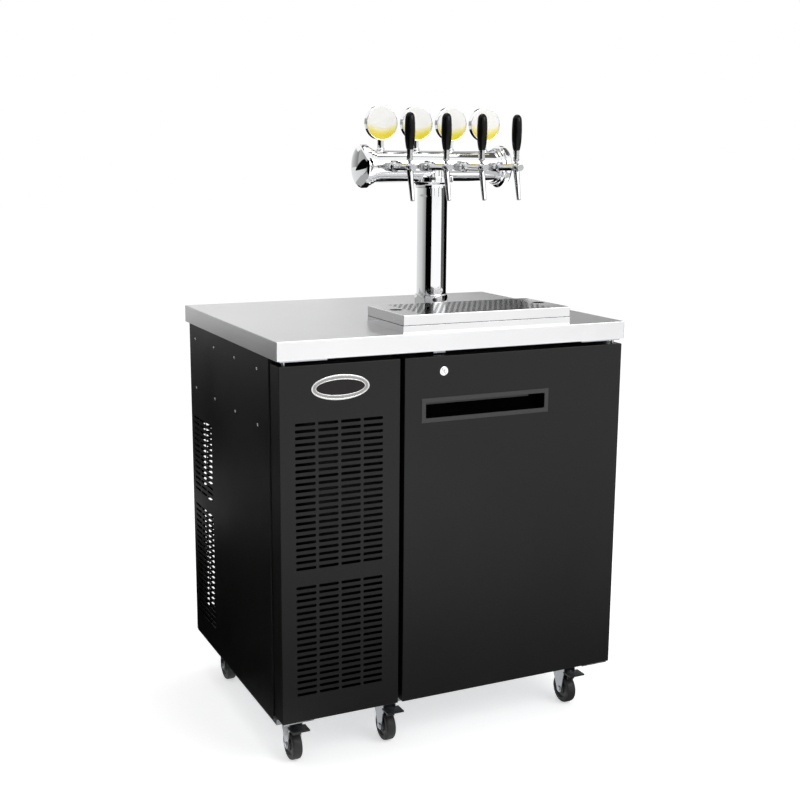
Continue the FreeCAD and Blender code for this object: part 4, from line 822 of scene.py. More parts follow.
# Studio
def card_material(name, start, end, tones, rays="all"):
    """A plain glow that fades round the object, for all rays or only the steep or flat ones."""
    material, tree, output, place = start_material(name)
    swing = add(tree, "ShaderNodeTexGradient", {"Vector": (place, "Object")},
                gradient_type="RADIAL")
    # The gradient runs from 0 to 1 once round, and starts at -180 degrees
    begin = (start + 180) % 360
    turn = mapped(tree, (swing, "Fac"), begin / 360, (begin + end - start) / 360)
    first, last = tones if isinstance(tones, tuple) else (tones, tones)
    colours = ramp(tree, turn, [(0.0, linear(first)), (1.0, linear(last))])
    glow = add(tree, "ShaderNodeEmission", {"Color": colours, "Strength": 1.0})
    if rays != "all":
        side = add(tree, "ShaderNodeNewGeometry")
        slope = mapped(tree, (add(tree, "ShaderNodeLayerWeight"), "Facing"), 0.6, 0.7,
                       float(rays == "flat"), float(rays == "steep"))
        clearness = compute(tree, "MAXIMUM", (side, "Backfacing"), slope)
        gap = add(tree, "ShaderNodeBsdfTransparent")
        glow = add(tree, "ShaderNodeMixShader", {0: clearness, 1: glow, 2: gap})
    put(output, {"Surface": glow})
    return material


def finish_card(card, *recipe):
    """Give a card its glow, and leave it to reflections alone."""
    card.data.materials.append(card_material(card.name, *recipe))
    card.visible_camera = False
    card.visible_shadow = False
    card.visible_diffuse = False


# Name, start and end angle from +X in degrees, (distance, height) of both rims, the tone or
# the tones of both ends, and for a slanting card how far its top rim is turned
CARDS = (
    ("card_left_front", 195, 240, (3.4, 0), (3.4, 3.2), "#020202"),
    ("card_left_near", 180, 195, (3.6, 0.5), (3.6, 1.27), ("#A6A6A6", "#888888")),
    ("card_left", 159, 180, (3.6, 0.5), (3.6, 1.27), ("#CCCCCC", "#A6A6A6")),
    ("card_left_far", 118, 159, (3.8, 0.5), (3.8, 1.3), ("#E0E0E0", "#CCCCCC")),
    ("card_left_edge", 70, 118, (3.8, 0.5), (3.8, 1.3), ("#F0F0F0", "#E0E0E0")),
    ("card_left_low", 95, 195, (3.8, 0), (3.8, 0.5), "#101010"),
    ("card_left_high", 126, 198, (3.6, 1.27), (3.6, 3.2), ("#B4B4B4", "#8A8A8A")),
    ("card_left_back", 84, 120, (3.8, 1.3), (3.8, 2.3), ("#E8E8E8", "#8E8E8E")),
    ("card_left_behind", 120, 175, (3.8, 1.3), (3.8, 2.6), ("#8E8E8E", "#6A6A6A")),
    ("card_left_middle", 122, 190, (0.8, 1.319), (0.8, 1.58), "#040404", 45),
    ("card_front_high", 240, 262, (3.4, 1.32), (3.4, 1.75), "#4A4A4A"),
    ("card_right", 317, 345, (3.6, 0.66), (3.6, 1.3), "#606060"),
    ("card_right_back", 345, 393, (3.4, 0), (3.4, 1.3), "#040404"),
    ("card_back_low", 54, 70, (4.0, 1.36), (4.0, 1.95), ("#383838", "#E4E4E4")),
    ("card_back_high", 25, 80, (3.8, 2.7), (3.8, 3.5), "#0A0A0A"),
    ("card_back_right", 20, 58, (4.2, 1.5), (4.2, 3.6), ("#6A6A6A", "#9A9A9A")),
    ("ceiling_back", -30, 150, (3.2, 3.9), (1.7, 4.3), "#5C5C5C"),
    ("ceiling_ring", -40, 160, (1.7, 4.3), (1.05, 4.3), "#030303"),
    ("mat_back", 62, 165, (0.5, 0.003), (4.6, 0.003), "#040404"),
    ("mat_left_near", 165, 200, (0.48, 0.003), (1.2, 0.003), "#040404"),
    ("mat_back_pale", 104, 117, (1.7, 0.004), (2.5, 0.004), ("#E0E0E0", "#B0B0B0")),
    ("mat_left_front", 195, 240, (0.8, 0.003), (3.4, 0.003), "#040404"),
    ("mat_front", 240, 332, (0.45, 0.003), (1.3, 0.003), ("#7A7A7A", "#828282")),
    ("mat_front_right", 298, 332, (1.3, 0.003), (3.0, 0.003), ("#C8C8C8", "#C0C0C0")),
)
# Name, place and size in metres, tone and rays. The mats paint reflections: two lie on the
# worktop, painted shade in the bar's underside and a pale painted reflection in the neck's foot;
# the third hangs under the left cap and paints its grey reflection
MATS = (
    ("mat_behind_tower", (0.03, 0.15, 1.018), (0.84, 0.4, 1), "#101010", "steep"),
    ("mat_left_of_tower", (-0.115, 0.09, 1.0165), (0.49, 0.46, 1), "#ACACAC", "flat"),
    ("mat_under_cap", (-0.24, 0.0, 1.3), (0.2, 0.3, 1), "#A8A8A8", "all"),
)
# Name, place in metres, turn in degrees, size in metres, watts
LAMPS = (
    ("front_softbox", (1.6, -3.2, 2.9), (52, 0, 26), (2.6, 1.8), 62),
    ("top_softbox", (0.0, 0.4, 3.4), (0, 0, 0), (2.4, 1.6), 20),
)


class COOLER_OT_stage(bpy.types.Operator):
    """Camera at the photograph's angle, floor, lamps and the dark cards that chrome reflects"""
    bl_idname = "cooler.stage"
    bl_label = "Studio"

    def execute(self, context):
        clear()
        bpy.ops.object.camera_add(location=(-1.3217, -2.813343, 1.404837),
                                  rotation=radians((78.7458, -0.3999, -25.3128)))
        camera = context.object
        camera.name = "camera"
        camera.data.lens = 55.2076
        camera.data.sensor_width = 36
        camera.data.clip_end = 200
        context.scene.camera = camera
        world = bpy.data.worlds.new("white_studio")
        context.scene.world = world
        world.use_nodes = True
        tree = world.node_tree
        tree.nodes.clear()
        # Camera, mirrors and glass see plain white; everything else gets a soft sky
        sky = add(tree, "ShaderNodeBackground", {
            "Color": (1, 1, 1, 1), "Strength": mapped(tree, seen(tree), 0.0, 1.0, 0.62, 1.0)})
        add(tree, "ShaderNodeOutputWorld", {"Surface": sky})
        floor = plane("floor", (0, 0, 0), (60, 60, 1))
        material, tree, output, place = start_material("pale_floor")
        lift = mapped(tree, seen(tree), 0.0, 1.0, 0.0, 0.5)
        matt = add(tree, "ShaderNodeBsdfDiffuse", {"Color": linear("#F2F2F2")})
        glow = add(tree, "ShaderNodeEmission", {"Color": (1, 1, 1, 1), "Strength": lift})
        put(output, {"Surface": add(tree, "ShaderNodeAddShader", {0: matt, 1: glow})})
        floor.data.materials.append(material)
        # Cards stand round the object and out of the camera's rays; polished metal needs them
        for name, start, end, near_ring, far_ring, tones, *swing in CARDS:
            card = hoop(name, near_ring[0], (0, 0, near_ring[1]), 360)
            edit(card, "EDGE")
            take_all()
            push(z=(far_ring[1] - near_ring[1]) / UNIT)
            widen = far_ring[0] / near_ring[0]
            stretch(widen, widen, 1, (0, 0, 0))
            edit(card)
            middle, half = radians(((start + end) / 2, (end - start) / 2))
            drop(lambda centre, direction: math.cos(
                math.atan2(centre.y, centre.x) - middle) < math.cos(half))
            for angle in swing:
                pick(lambda point, direction: near(point.z, far_ring[1] / UNIT), "VERT")
                bpy.ops.transform.rotate(value=-math.radians(angle), orient_axis="Z",
                                         center_override=(0, 0, 0))
            clear()
            finish_card(card, start, end, tones)
        for name, place, size, tone, rays in MATS:
            finish_card(plane(name, place, size), 0, 90, tone, rays)
        for name, place, turn, size, power in LAMPS:
            clear()
            bpy.ops.object.light_add(type="AREA", location=place, rotation=radians(turn))
            lamp = context.object
            lamp.name = lamp.data.name = name
            lamp.data.shape = "RECTANGLE"
            lamp.data.size, lamp.data.size_y = size
            lamp.data.energy = power
        return {"FINISHED"}


class COOLER_OT_worktop(bpy.types.Operator):
    """Folded stainless worktop with rounded bends and closed flanges underneath"""
    bl_idname = "cooler.worktop"
    bl_label = "Worktop"

    def execute(self, context):
        low, high = box_of("worktop")
        panel = box_of("left_side_panel")
        piece = opened("worktop_pan", low, high, lambda middle, direction: direction.z < -0.9)
        round_edges(lambda middle, direction: middle.z > low[2] + 1,
                    sizes().worktop_edge / UNIT, 4)
        # The front and back skirts turn in under the pan, as far as the cabinet
        for side, goal in ((low[1], panel[0][1]), (high[1], panel[1][1])):
            pick(lambda middle, direction: near(middle.z, low[2]) and near(middle.y, side),
                 "EDGE")
            push(y=goal - side)
        thicken(piece, 1.5)
        done(piece, CABINET, "brushed_stainless", "worktop", smooth=50)
        return {"FINISHED"}


class COOLER_OT_cabinet(bpy.types.Operator):
    """Side and rear panels with punched vents, base, strike and hinges"""
    bl_idname = "cooler.cabinet"
    bl_label = "Cabinet panels"

    def execute(self, context):
        vents = ((14, 722), (21, 482))
        low, high = box_of("left_side_panel")
        piece = slotted("left_panel_sheet", -high[1], -low[1], low[2], high[2], -308, 3, vents)
        edit(piece)
        # The front border above the base is folded in behind the grille
        base = 126
        pick(lambda middle, direction: near(middle.x, -low[1]) and middle.z > -0.1
             and middle.y > base, "EDGE")
        push(z=-16)
        round_edges(lambda middle, direction: near(middle.x, -low[1]) and near(middle.z, 0)
                    and abs(direction.y) > 0.9 and middle.y > base, 1.4, 3)
        stand(piece, (90, 0, -90), (low[0], 0, 0))
        thicken(piece)
        done(piece, CABINET, "black_powder_coat", "left_side_panel")
        low, high = box_of("rear_panel")
        piece = slotted("rear_panel_sheet", low[0], high[0], low[2], high[2], 205.8, 4, vents)
        stand(piece, (90, 0, 180), (0, high[1], 0))
        thicken(piece)
        done(piece, CABINET, "black_powder_coat", "rear_panel")
        for name, node, finish, slot in (
                ("right_panel_sheet", "right_side_panel", "black_powder_coat", "black_panel"),
                ("base_pan", "base_tray", "galvanised_sheet", "galvanised_steel"),
                ("hinge_plates", "hinge_brackets", "zinc_plate", "zinc_plate"),
                ("strike_angle", "lock_strike", "zinc_plate", "zinc_plate")):
            reuse(name, node, 0.5, CABINET, finish)
        return {"FINISHED"}


class COOLER_OT_screws(bpy.types.Operator):
    """Pan head screws with a cross recess on the side panels, and hex socket bolts on the tower's
    flange
    """
    bl_idname = "cooler.screws"
    bl_label = "Screws"

    def execute(self, context):
        deep, level = -216, 933
        heads = []
        for side, face, sign in (("left", box_of("left_side_panel")[0][0], -1),
                                 ("right", box_of("right_side_panel")[1][0], 1)):
            head = turned("screw_" + side, "x", (deep, level), at(face, [
                (0, 0), (0, 4), (0.5, 4), (1.1, 3.3), (1.5, 2.1), (1.6, 0)], sign), 20)
            inner, outer = sorted((face + 0.8 * sign, face + 3 * sign))
            for wide, tall in ((2.1, 0.45), (0.45, 2.1)):
                carve(head, block("cross", (inner, deep - wide, level - tall),
                                  (outer, deep + wide, level + tall)))
            heads += [copy_to(head, "screw_%s_%d_%d" % (side, count, lower > 0),
                              y=164.4 * count, z=-lower)
                      for count in range(4) for lower in (0, 129.7) if count or lower]
            heads.append(head)
        # Four bolts on a circle of 54 mm radius, on the diagonals
        reach = 54 * 0.7071
        step = 2 * reach
        corner = [part - reach for part in middle_of("tower_flange")]
        foot = box_of("tower_flange")[0][2] + 6
        bolt = turned("flange_bolt", "z", corner, at(foot, [
            (0, 0), (0, 6.4), (0.4, 6.8), (1.6, 6.5), (2.9, 4.6), (3.4, 2.4), (3.5, 0)]), 28)
        carve(bolt, turned("hex_socket", "z", corner, at(foot, [
            (1.2, 0), (1.2, 2.2), (5, 2.2), (5, 0)]), 6))
        heads += [copy_to(bolt, "flange_bolt_%d" % index, x=across, y=back)
                  for index, (across, back) in enumerate(((step, 0), (0, step), (step, step)))]
        heads.append(bolt)
        done(joined("screw_set", heads), CABINET, "satin_aluminium", "screws")
        return {"FINISHED"}


class COOLER_OT_grille(bpy.types.Operator):
    """Folded grille with punched vents and a bare oval badge"""
    bl_idname = "cooler.grille"
    bl_label = "Grille and badge"

    def execute(self, context):
        low, high = box_of("grille_panel")
        piece = slotted("grille_sheet", low[0], high[0], low[2], high[2], low[0] + 36, 4,
                        ((23, 827), (18, 452)))
        fold_round(piece, low[0], high[0], low[2], high[2], high[1] - low[1])
        stand(piece, (90, 0, 0), (0, low[1], 0))
        thicken(piece)
        done(piece, "grille", "black_powder_coat", "grille_panel")
        low, high = box_of("badge")
        middle = middle_of("badge", (0, 2))
        wide, tall = (high[0] - low[0]) / 2, (high[2] - low[2]) / 2
        # Each step is how far it is sunk and how far it is set in from the outline
        for name, finish, profile in (
                ("badge_rim", "satin_aluminium", (
                    (0.9, 0), (0.35, 0), (0.08, 0.5), (0, 1.2), (0.02, 2.6), (0.12, 3.2),
                    (0.3, 3.5), (0.9, 3.5))),
                ("badge_band", "etched_aluminium", (
                    (0.9, 3.3), (0.3, 3.3), (0.24, 6.4), (0.3, 9.6), (0.9, 9.6))),
                ("badge_bead", "satin_aluminium", (
                    (0.9, 9.4), (0.3, 9.4), (0.1, 9.7), (0.04, 10.4), (0.1, 11.0),
                    (0.35, 11.4), (0.9, 11.6)))):
            rim = ovals(name, middle, [
                (low[1] + sink, wide - inset, tall - inset) for sink, inset in profile])
            done(rim, "grille", finish, "badge", smooth=50)
        face = ovals("badge_face", middle, [
            (low[1] + 0.55, wide - 11.4, tall - 11.4), (low[1] + 0.5, wide - 13, tall - 13),
            (low[1] + 0.45, (wide - 12) / 2, (tall - 12) / 2)], filled=True)
        done(face, "grille", "badge_lacquer", "badge")
        return {"FINISHED"}


class COOLER_OT_door(bpy.types.Operator):
    """Folded door skin with the handle's opening, inner skin, gasket, handle and lock"""
    bl_idname = "cooler.door"
    bl_label = "Door"

    def execute(self, context):
        low, high = box_of("door_shell")
        front = low[1]
        (left, _, foot), (right, back, top) = box_of("door_handle")
        cover = 8.5
        opening = [left + cover, right - cover, foot + cover, top - cover]
        piece = opened("door_skin", low, high, lambda middle, direction: direction.y > 0.9)
        round_edges(lambda middle, direction: middle.y < high[1] - 1,
                    sizes().leaf_edge / UNIT, 3)
        for place, axis in zip(opening, (0, 0, 2, 2)):
            pick(lambda middle, direction: direction.y < -0.99)
            point, normal = [0, 0, 0], [0, 0, 0]
            point[axis], normal[axis] = place * UNIT, 1
            bpy.ops.mesh.bisect(plane_co=point, plane_no=normal)
        drop(lambda middle, direction: direction.y < -0.99 and
             opening[0] < middle.x < opening[1] and opening[2] < middle.z < opening[3])
        thicken(piece)
        done(piece, "door", "black_powder_coat", "door_shell")
        # The frame and the lip catch light; the pocket behind them is deep in shade, which its
        # near-black colour paints in
        piece = opened("handle_frame", box_of("door_handle")[0], (right, front + 0.6, top),
                       lambda middle, direction: direction.y > 0.9)
        pick(lambda middle, direction: direction.y < -0.9)
        inner = 10.2
        inset_to((left + inner, None, foot + inner), (right - inner, None, top - inner))
        push(y=6)
        bpy.ops.mesh.delete(type="FACE")
        round_edges(lambda middle, direction: abs(direction.y) > 0.9
                    and left + 9 < middle.x < right - 9, 3, 3)
        thicken(piece, 1.6)
        soften(piece, 0.4, 2, 50)
        lip = block("handle_lip", (left + 14.5, front + 26, top - 20.5),
                    (right - 39.5, front + 28, top - 10.5))
        soften(lip, 0.8, 3)
        done(joined("handle_frame", [piece, lip]), "door", "textured_black_abs",
             "door_handle")
        inner = 8.8
        piece = opened("handle_pocket", (left + inner, front + 1.2, foot + inner),
                       (right - inner, back, top - inner),
                       lambda middle, direction: direction.y < -0.9)
        round_edges(lambda middle, direction: middle.y > front + 2, 4, 3)
        thicken(piece, 1.4)
        done(piece, "door", "pocket_black_abs", "door_handle")
        place = middle_of("lock_barrel", (0, 2))
        end = box_of("lock_barrel")[1][1]
        ring = looped("lock_ring", "y", place, [(end, 6.2), (end, 9)] + at(front, [
            (0, 9), (0, 10.5), (-0.5, 10.5), (-0.9, 10.0), (-0.9, 8.4), (-0.6, 7.6),
            (-0.4, 6.2)]), 48)
        done(ring, "door", "bright_chrome", "lock_barrel", smooth=40)
        plug = turned("lock_cylinder", "y", place, at(front, [
            (-0.7, 0), (-0.7, 5.4), (-0.2, 6), (26, 6), (26, 0)]), 40)
        carve(plug, block("key_slot", (place[0] - 0.8, front - 3, place[1] - 4),
                          (place[0] + 0.8, front + 5, place[1] + 4)))
        cam_low, cam_high = box_of("lock_plug")
        cam = block("cam", (cam_low[0], front + 26, place[1] - 6),
                    (cam_high[0], cam_high[1], place[1] + 6))
        edit(cam)
        round_edges(lambda middle, direction: abs(direction.y) > 0.9, 5.5, 6)
        done(joined("lock_cylinder", [plug, cam]), "lock", "bright_chrome",
             "lock_plug", smooth=40)
        reuse("door_inner", "door_liner", 1.2, "door", "formed_white_plastic", 3)
        reuse("door_seal", "door_gasket", 3.2, "door", "soft_pvc", 4)
        return {"FINISHED"}


class COOLER_OT_tower(bpy.types.Operator):
    """Chrome T tower: flange with neck, column, collar, bar and domed end caps"""
    bl_idname = "cooler.tower"
    bl_label = "Tower"

    def execute(self, context):
        def plate(piece, node):
            done(piece, CABINET, "bright_chrome", node, smooth=40)

        def tube(name, axis, across, low, high):
            return looped(name, axis, across, [
                (low, BORE), (low, TUBE), (high, TUBE), (high, BORE)], 96)

        low, high = box_of("tower_flange")
        middle = middle_of("tower_flange")
        foot, top, reach = low[2], high[2], (high[0] - low[0]) / 2
        plate(looped("flange_with_neck", "z", middle, at(foot, [
            (0, FIT), (0, reach), (3.6, reach), (5.2, reach - 0.7), (6, reach - 2.4), (6, 44.5),
            (6.6, 43), (8.5, 42)]) + at(top, [(-2.5, 42), (-0.8, 41.4), (0, 40), (0, FIT)]), 96),
            "tower_flange")
        low, high = box_of("tower_column")
        column = tube("column_tube", "z", middle, low[2], high[2])
        carve(column, bar_core())
        plate(column, "tower_column")
        # A small blackened screw in the neck clamps the column
        screw = turned("neck_screw", "x", (0, 0), [
            (41.4, 0), (41.4, 5), (42.3, 5), (43.4, 4.4), (44.2, 3.2), (44.3, 2.6),
            (42.6, 2.4), (42.6, 0)], 24)
        stand(screw, (0, 0, 254), (*middle, 1052))
        done(screw, CABINET, "black_acetal", "tower_flange")
        low, high = box_of("tower_collar")
        base, crown, wide = low[2], high[2], (high[0] - low[0]) / 2
        collar = looped("collar_cup", "z", middle, at(base, [
            (0, FIT), (0, wide - 8.6), (0.6, wide - 8)]) + flowing(at(base, [
                (6, wide - 7.6), (9, wide - 6.2), (11.5, wide - 3), (13.2, wide - 0.8),
                (15, wide)]), 3) + at(crown, [
                    (-1.2, wide), (-0.3, wide - 0.4), (0, wide - 1.4), (0, FIT)]), 96)
        carve(collar, bar_core())
        plate(collar, "tower_collar")
        low, high = box_of("tower_bar")
        level = (middle[1], (low[2] + high[2]) / 2)
        plate(tube("bar_tube", "x", level, low[0], high[0]), "tower_bar")
        # Places from the tower's middle outwards
        profile = [(166, 38.1), (166, 41.2), (166.8, 42), (173.2, 42), (174, 43), (174, 45.4),
                   (174.6, 46), (181, 46), (182, 47.5), (182.6, 50.6), (184, 52), (193, 52),
                   (194.4, 51.3)] + arc(194.6, 14.4, 50.6, 3, 84, 14) + [(209, 0)]
        caps = [turned("cap_" + side, "x", level, at(middle[0], profile, sign), 96)
                for side, sign in (("left", -1), ("right", 1))]
        plate(joined("bar_caps", caps), "bar_end_caps")
        return {"FINISHED"}


class COOLER_OT_taps(bpy.types.Operator):
    """Four taps: knurled coupling, body with flange, barrel, spout and cap, and lever"""
    bl_idname = "cooler.taps"
    bl_label = "Taps"

    def execute(self, context):
        front = box_of("tower_bar")[0][1]
        level = middle_of("tower_bar", (2,))[0]
        places = tap_places()
        first = places[0]
        nut_end, ring_end, ball = front - 36, front - 48, front - 125
        knurls = sizes().knurls
        nut = looped("coupling", "y", (first, level), at(front, [
            (1.5, 7), (1.5, 10), (-1, 10.6), (-1.8, 11), (-8, 11), (-9, 10.2), (-10, 10.2),
            (-11, 11), (-25, 11), (-26, 10.2), (-27, 10.2), (-28, 10.8)]) + at(nut_end, [
                (0.8, 10.8), (0, 10), (0, 7)]), knurls * 2)
        edit(nut, "VERT")
        step = math.tau / (knurls * 2)
        # Every other line of points is pressed in, which leaves the teeth
        pick(lambda place, direction: front - 25.5 < place.y < front - 10.5 and round(
            math.atan2(place.z - level, place.x - first) / step - 0.25) % 2 == 0
            and math.hypot(place.z - level, place.x - first) > 10.5, "VERT")
        stretch(10.3 / 11, 1, 10.3 / 11, (first, front, level))
        done(joined("coupling_nuts", at_taps(nut, "coupling", places)), CABINET,
             "knurled_chrome", "tap_couplings", smooth=30)
        body = turned("tap_barrel", "y", (first, level), at(nut_end, [
            (0, 0), (0, 11.7), (-0.8, 12.5)]) + at(ring_end, [
                (0.8, 12.5), (0, 11.7), (-0.6, 10.4), (-2, 9.2), (-4, 8.5)])
            + arc(ball, -10.5, 10.5, -35.9, 92.4, 12) + at(ball, [
                (-16, 5.8), (-16.6, 7.6), (-17.2, 8.3), (-17.8, 8.5), (-21.2, 8.5),
                (-21.8, 8.2), (-22, 7.7), (-22, 6.3), (-21.5, 6.0), (-21.5, 5.1), (-22, 4.8),
                (-22, 1.5), (-21.6, 1.1), (-21.6, 0)]), 48)
        # The spout leans forward: so far out and so far down from the ball
        out, down = 17, 77
        reach = math.hypot(out, down)
        spout = turned("spout", "z", (0, 0), [
            (0, 0), (0, 7.5), (-9, 7.5), (-14, 7.3)] + at(-reach, [
                (2.4, 5.1), (0.5, 5), (0, 4.6), (0, 3.2), (12, 3), (12, 0)]), 40)
        stand(spout, (-math.degrees(math.atan2(out, down)), 0, 0), (first, ball, level))
        body = joined("tap_1", [body, spout])
        done(joined("tap_body_set", at_taps(body, "tap", places)), CABINET, "cast_chrome",
             "tap_bodies", smooth=40)
        knob = level + 19.5
        stem = turned("lever_stem_1", "z", (first, ball), [
            (level + 10.2, 0), (level + 10.2, 4), (knob - 6.4, 4)]
            + arc(knob, 7.5, 7.5, -56, 56, 6) + at(knob, [
                (8.6, 7.5), (9.2, 6.8), (11, 6.8), (11.6, 7.5), (20.2, 7.5), (21, 6.8),
                (21, 0)]), 40)
        grip = turned("grip_1", "z", (first, ball), at(knob, [
            (21, 0), (21, 7.2)]) + flowing(at(knob, [
                (21.8, 8.2), (33, 10.4), (48, 11.9), (70, 12.3), (92, 11.2), (99.8, 8.9),
                (103.6, 5.2), (104.9, 1.6)]), 4) + [(knob + 105, 0)], 48)
        for index, place in enumerate(places, start=1):
            node = "tap_lever_%d" % index
            for part, name, finish, slot, smooth in (
                    (stem, "lever", "cast_chrome", "chrome", 40),
                    (grip, "tap_grip", "black_phenolic", "tap_handle_black", 60)):
                other = copy_to(part, "%s_%d" % (name, index), x=place - first)
                done(other, node, finish, node, smooth)
        discard(stem, grip)
        return {"FINISHED"}


class COOLER_OT_medallions(bpy.types.Operator):
    """Four drums on stems, each with a bare enamelled face that fades to yellow"""
    bl_idname = "cooler.medallions"
    bl_label = "Medallions"

    def execute(self, context):
        places = tap_places()
        first = places[0]
        front = box_of("medallion_faces")[0][1] - 0.4
        centre = middle_of("medallion_faces", (2,))[0]
        low, high = box_of("medallion_cases")
        deep = (low[1] + high[1]) / 2
        foot, reach = low[2], high[2] - centre
        drum = turned("drum", "y", (first, centre), at(front, [
            (18, 0), (18, reach - 4.4), (17.6, reach - 3.6), (14.4, reach - 0.4), (13.4, reach),
            (1.3, reach), (0.4, reach - 0.3), (0, reach - 0.9), (0, reach - 1.7),
            (0.5, reach - 2.4), (1.6, reach - 2.5), (1.6, 0)]), 96)
        stem = turned("stem", "z", (first, deep), at(foot, [
            (-2.4, 0), (-2.4, 9.6), (3.6, 10), (4.6, 9.7), (6, 8.4), (7.4, 8)]) + [
                (centre - reach * 0.9, 8), (centre - reach * 0.9, 0)], 48)
        carve(stem, bar_core())
        case = joined("medallion_1", [drum, stem])
        done(joined("medallion_drums", at_taps(case, "medallion", places)), CABINET,
             "bright_chrome", "medallion_cases", smooth=40)
        disc = turned("face_1", "y", (first, centre), at(front, [
            (1.7, 0), (1.7, reach - 2.6), (0.7, reach - 2.6), (0.45, reach - 3.2),
            (0.4, reach - 4.6), (0.4, 0)]), 72)
        discs = joined("medallion_discs", at_taps(disc, "face", places))
        MADE["enamelled_face"] = medallion_material([
            metres((place, front, centre)) for place in places])
        done(discs, CABINET, "enamelled_face", "medallion_faces")
        return {"FINISHED"}


class COOLER_OT_tray(bpy.types.Operator):
    """Drip tray: a folded pan, its perforated lid and a dark strip of painted shade in the seam
    between them
    """
    bl_idname = "cooler.tray"
    bl_label = "Drip tray"

    def execute(self, context):
        low, high = box_of("drip_lid")
        middle = middle_of("drip_lid")
        # Staggered holes: their step along a row, and from one row to the next but one
        pitch = 14.5
        stagger = pitch * math.sqrt(3)
        hole, finger_hole, finger_inset = 4.2, 15, 28
        parts = [opened("lid_outline", (low[0], low[1], -1), (high[0], high[1], 0),
                        lambda place, direction: direction.z < 0.9)]
        take_all()
        bpy.ops.mesh.delete(type="ONLY_FACE")
        for columns, rows in ((24, 8), (23, 7)):
            corner = (middle[0] - (columns - 1) * pitch / 2,
                      middle[1] + (rows - 1) * stagger / 2, 0)
            parts.append(hoop("holes_%d" % rows, hole * UNIT, metres(corner), 12))
            row(parts[-1], columns, x=pitch)
            row(parts[-1], rows, y=-stagger)
        for end in (low[0] + finger_inset, high[0] - finger_inset):
            parts.append(hoop("finger_hole", finger_hole * UNIT, metres((end, middle[1], 0)), 40))
        lid = joined("lid_sheet", parts)
        edit(lid, "EDGE")
        take_all()
        bpy.ops.mesh.fill(use_beauty=True)
        outward()
        clear()
        # The skirt stops a little above the pan's, which leaves the seam that the painted shade
        # strip fills
        fold_round(lid, low[0], high[0], low[1], high[1], high[2] - low[2] - SHEET)
        stand(lid, (0, 0, 0), (0, 0, high[2]))
        thicken(lid)
        done(lid, "drip_lid", "polished_stainless", "drip_lid")
        reuse("pan_sheet", "drip_pan", 0.4, "drip_pan", "polished_stainless")
        # A thin black strip fills the seam all round: painted shade for the shadow in the gap
        seam, inset = low[2], 0.4
        low, high = box_of("drip_pan")
        shade_strip = opened("seam_seal", (low[0] + inset, low[1] + inset, seam - 0.1),
                      (high[0] - inset, high[1] - inset, seam + 1.5),
                      lambda place, direction: abs(direction.z) > 0.9)
        thicken(shade_strip, 0.7)
        done(shade_strip, "drip_pan", "soft_pvc", "drip_pan")
        return {"FINISHED"}


class COOLER_OT_casters(bpy.types.Operator):
    """Six casters: tyres, hubs, forks, mounting plates and brake pedals"""
    bl_idname = "cooler.casters"
    bl_label = "Casters"

    def execute(self, context):
        low, high = box_of("front_wheel_left")
        place, *middle = middle_of("front_wheel_left", (0, 1, 2))
        reach = (high[2] - low[2]) / 2
        tyre = looped("tyre", "x", middle, at(place, both_ways([
            (-12, reach - 11), (-12, reach - 4), (-11.4, reach - 2.2), (-9.8, reach - 0.8),
            (-7, reach - 0.1)], [(0, reach)]) + [(0, reach - 12)]), 72)
        hub = looped("hub", "x", middle, at(place, both_ways([
            (-14, 4.1), (-14, 12.6), (-12.8, 14), (-9, 14.6), (-8, 16), (-8, reach - 14),
            (-11.6, reach - 11.6), (-11.6, reach - 10.9)])), 48)
        sides = ("left", "middle", "right")
        for body in ["%s_wheel_%s" % (end, side) for end in ("front", "rear") for side in sides]:
            corner = box_of(body)[0]
            for part, name, finish in ((tyre, "_tyre", "polyurethane_tread"),
                                       (hub, "_hub", "textured_black_abs")):
                other = copy_to(part, body + name, x=corner[0] - low[0], y=corner[1] - low[1])
                done(other, body, finish, body)
        discard(tyre, hub)
        for side in sides:
            reuse("fork_%s_plates" % side, "caster_fork_" + side, 0.6, "fork_" + side,
                  "zinc_plate")
            reuse("pedal_%s_moulding" % side, "brake_pedal_" + side, 0.8, "pedal_" + side,
                  "black_acetal", 3)
        reuse("caster_plates", "caster_mounts", 0.5, CABINET, "zinc_plate")
        return {"FINISHED"}


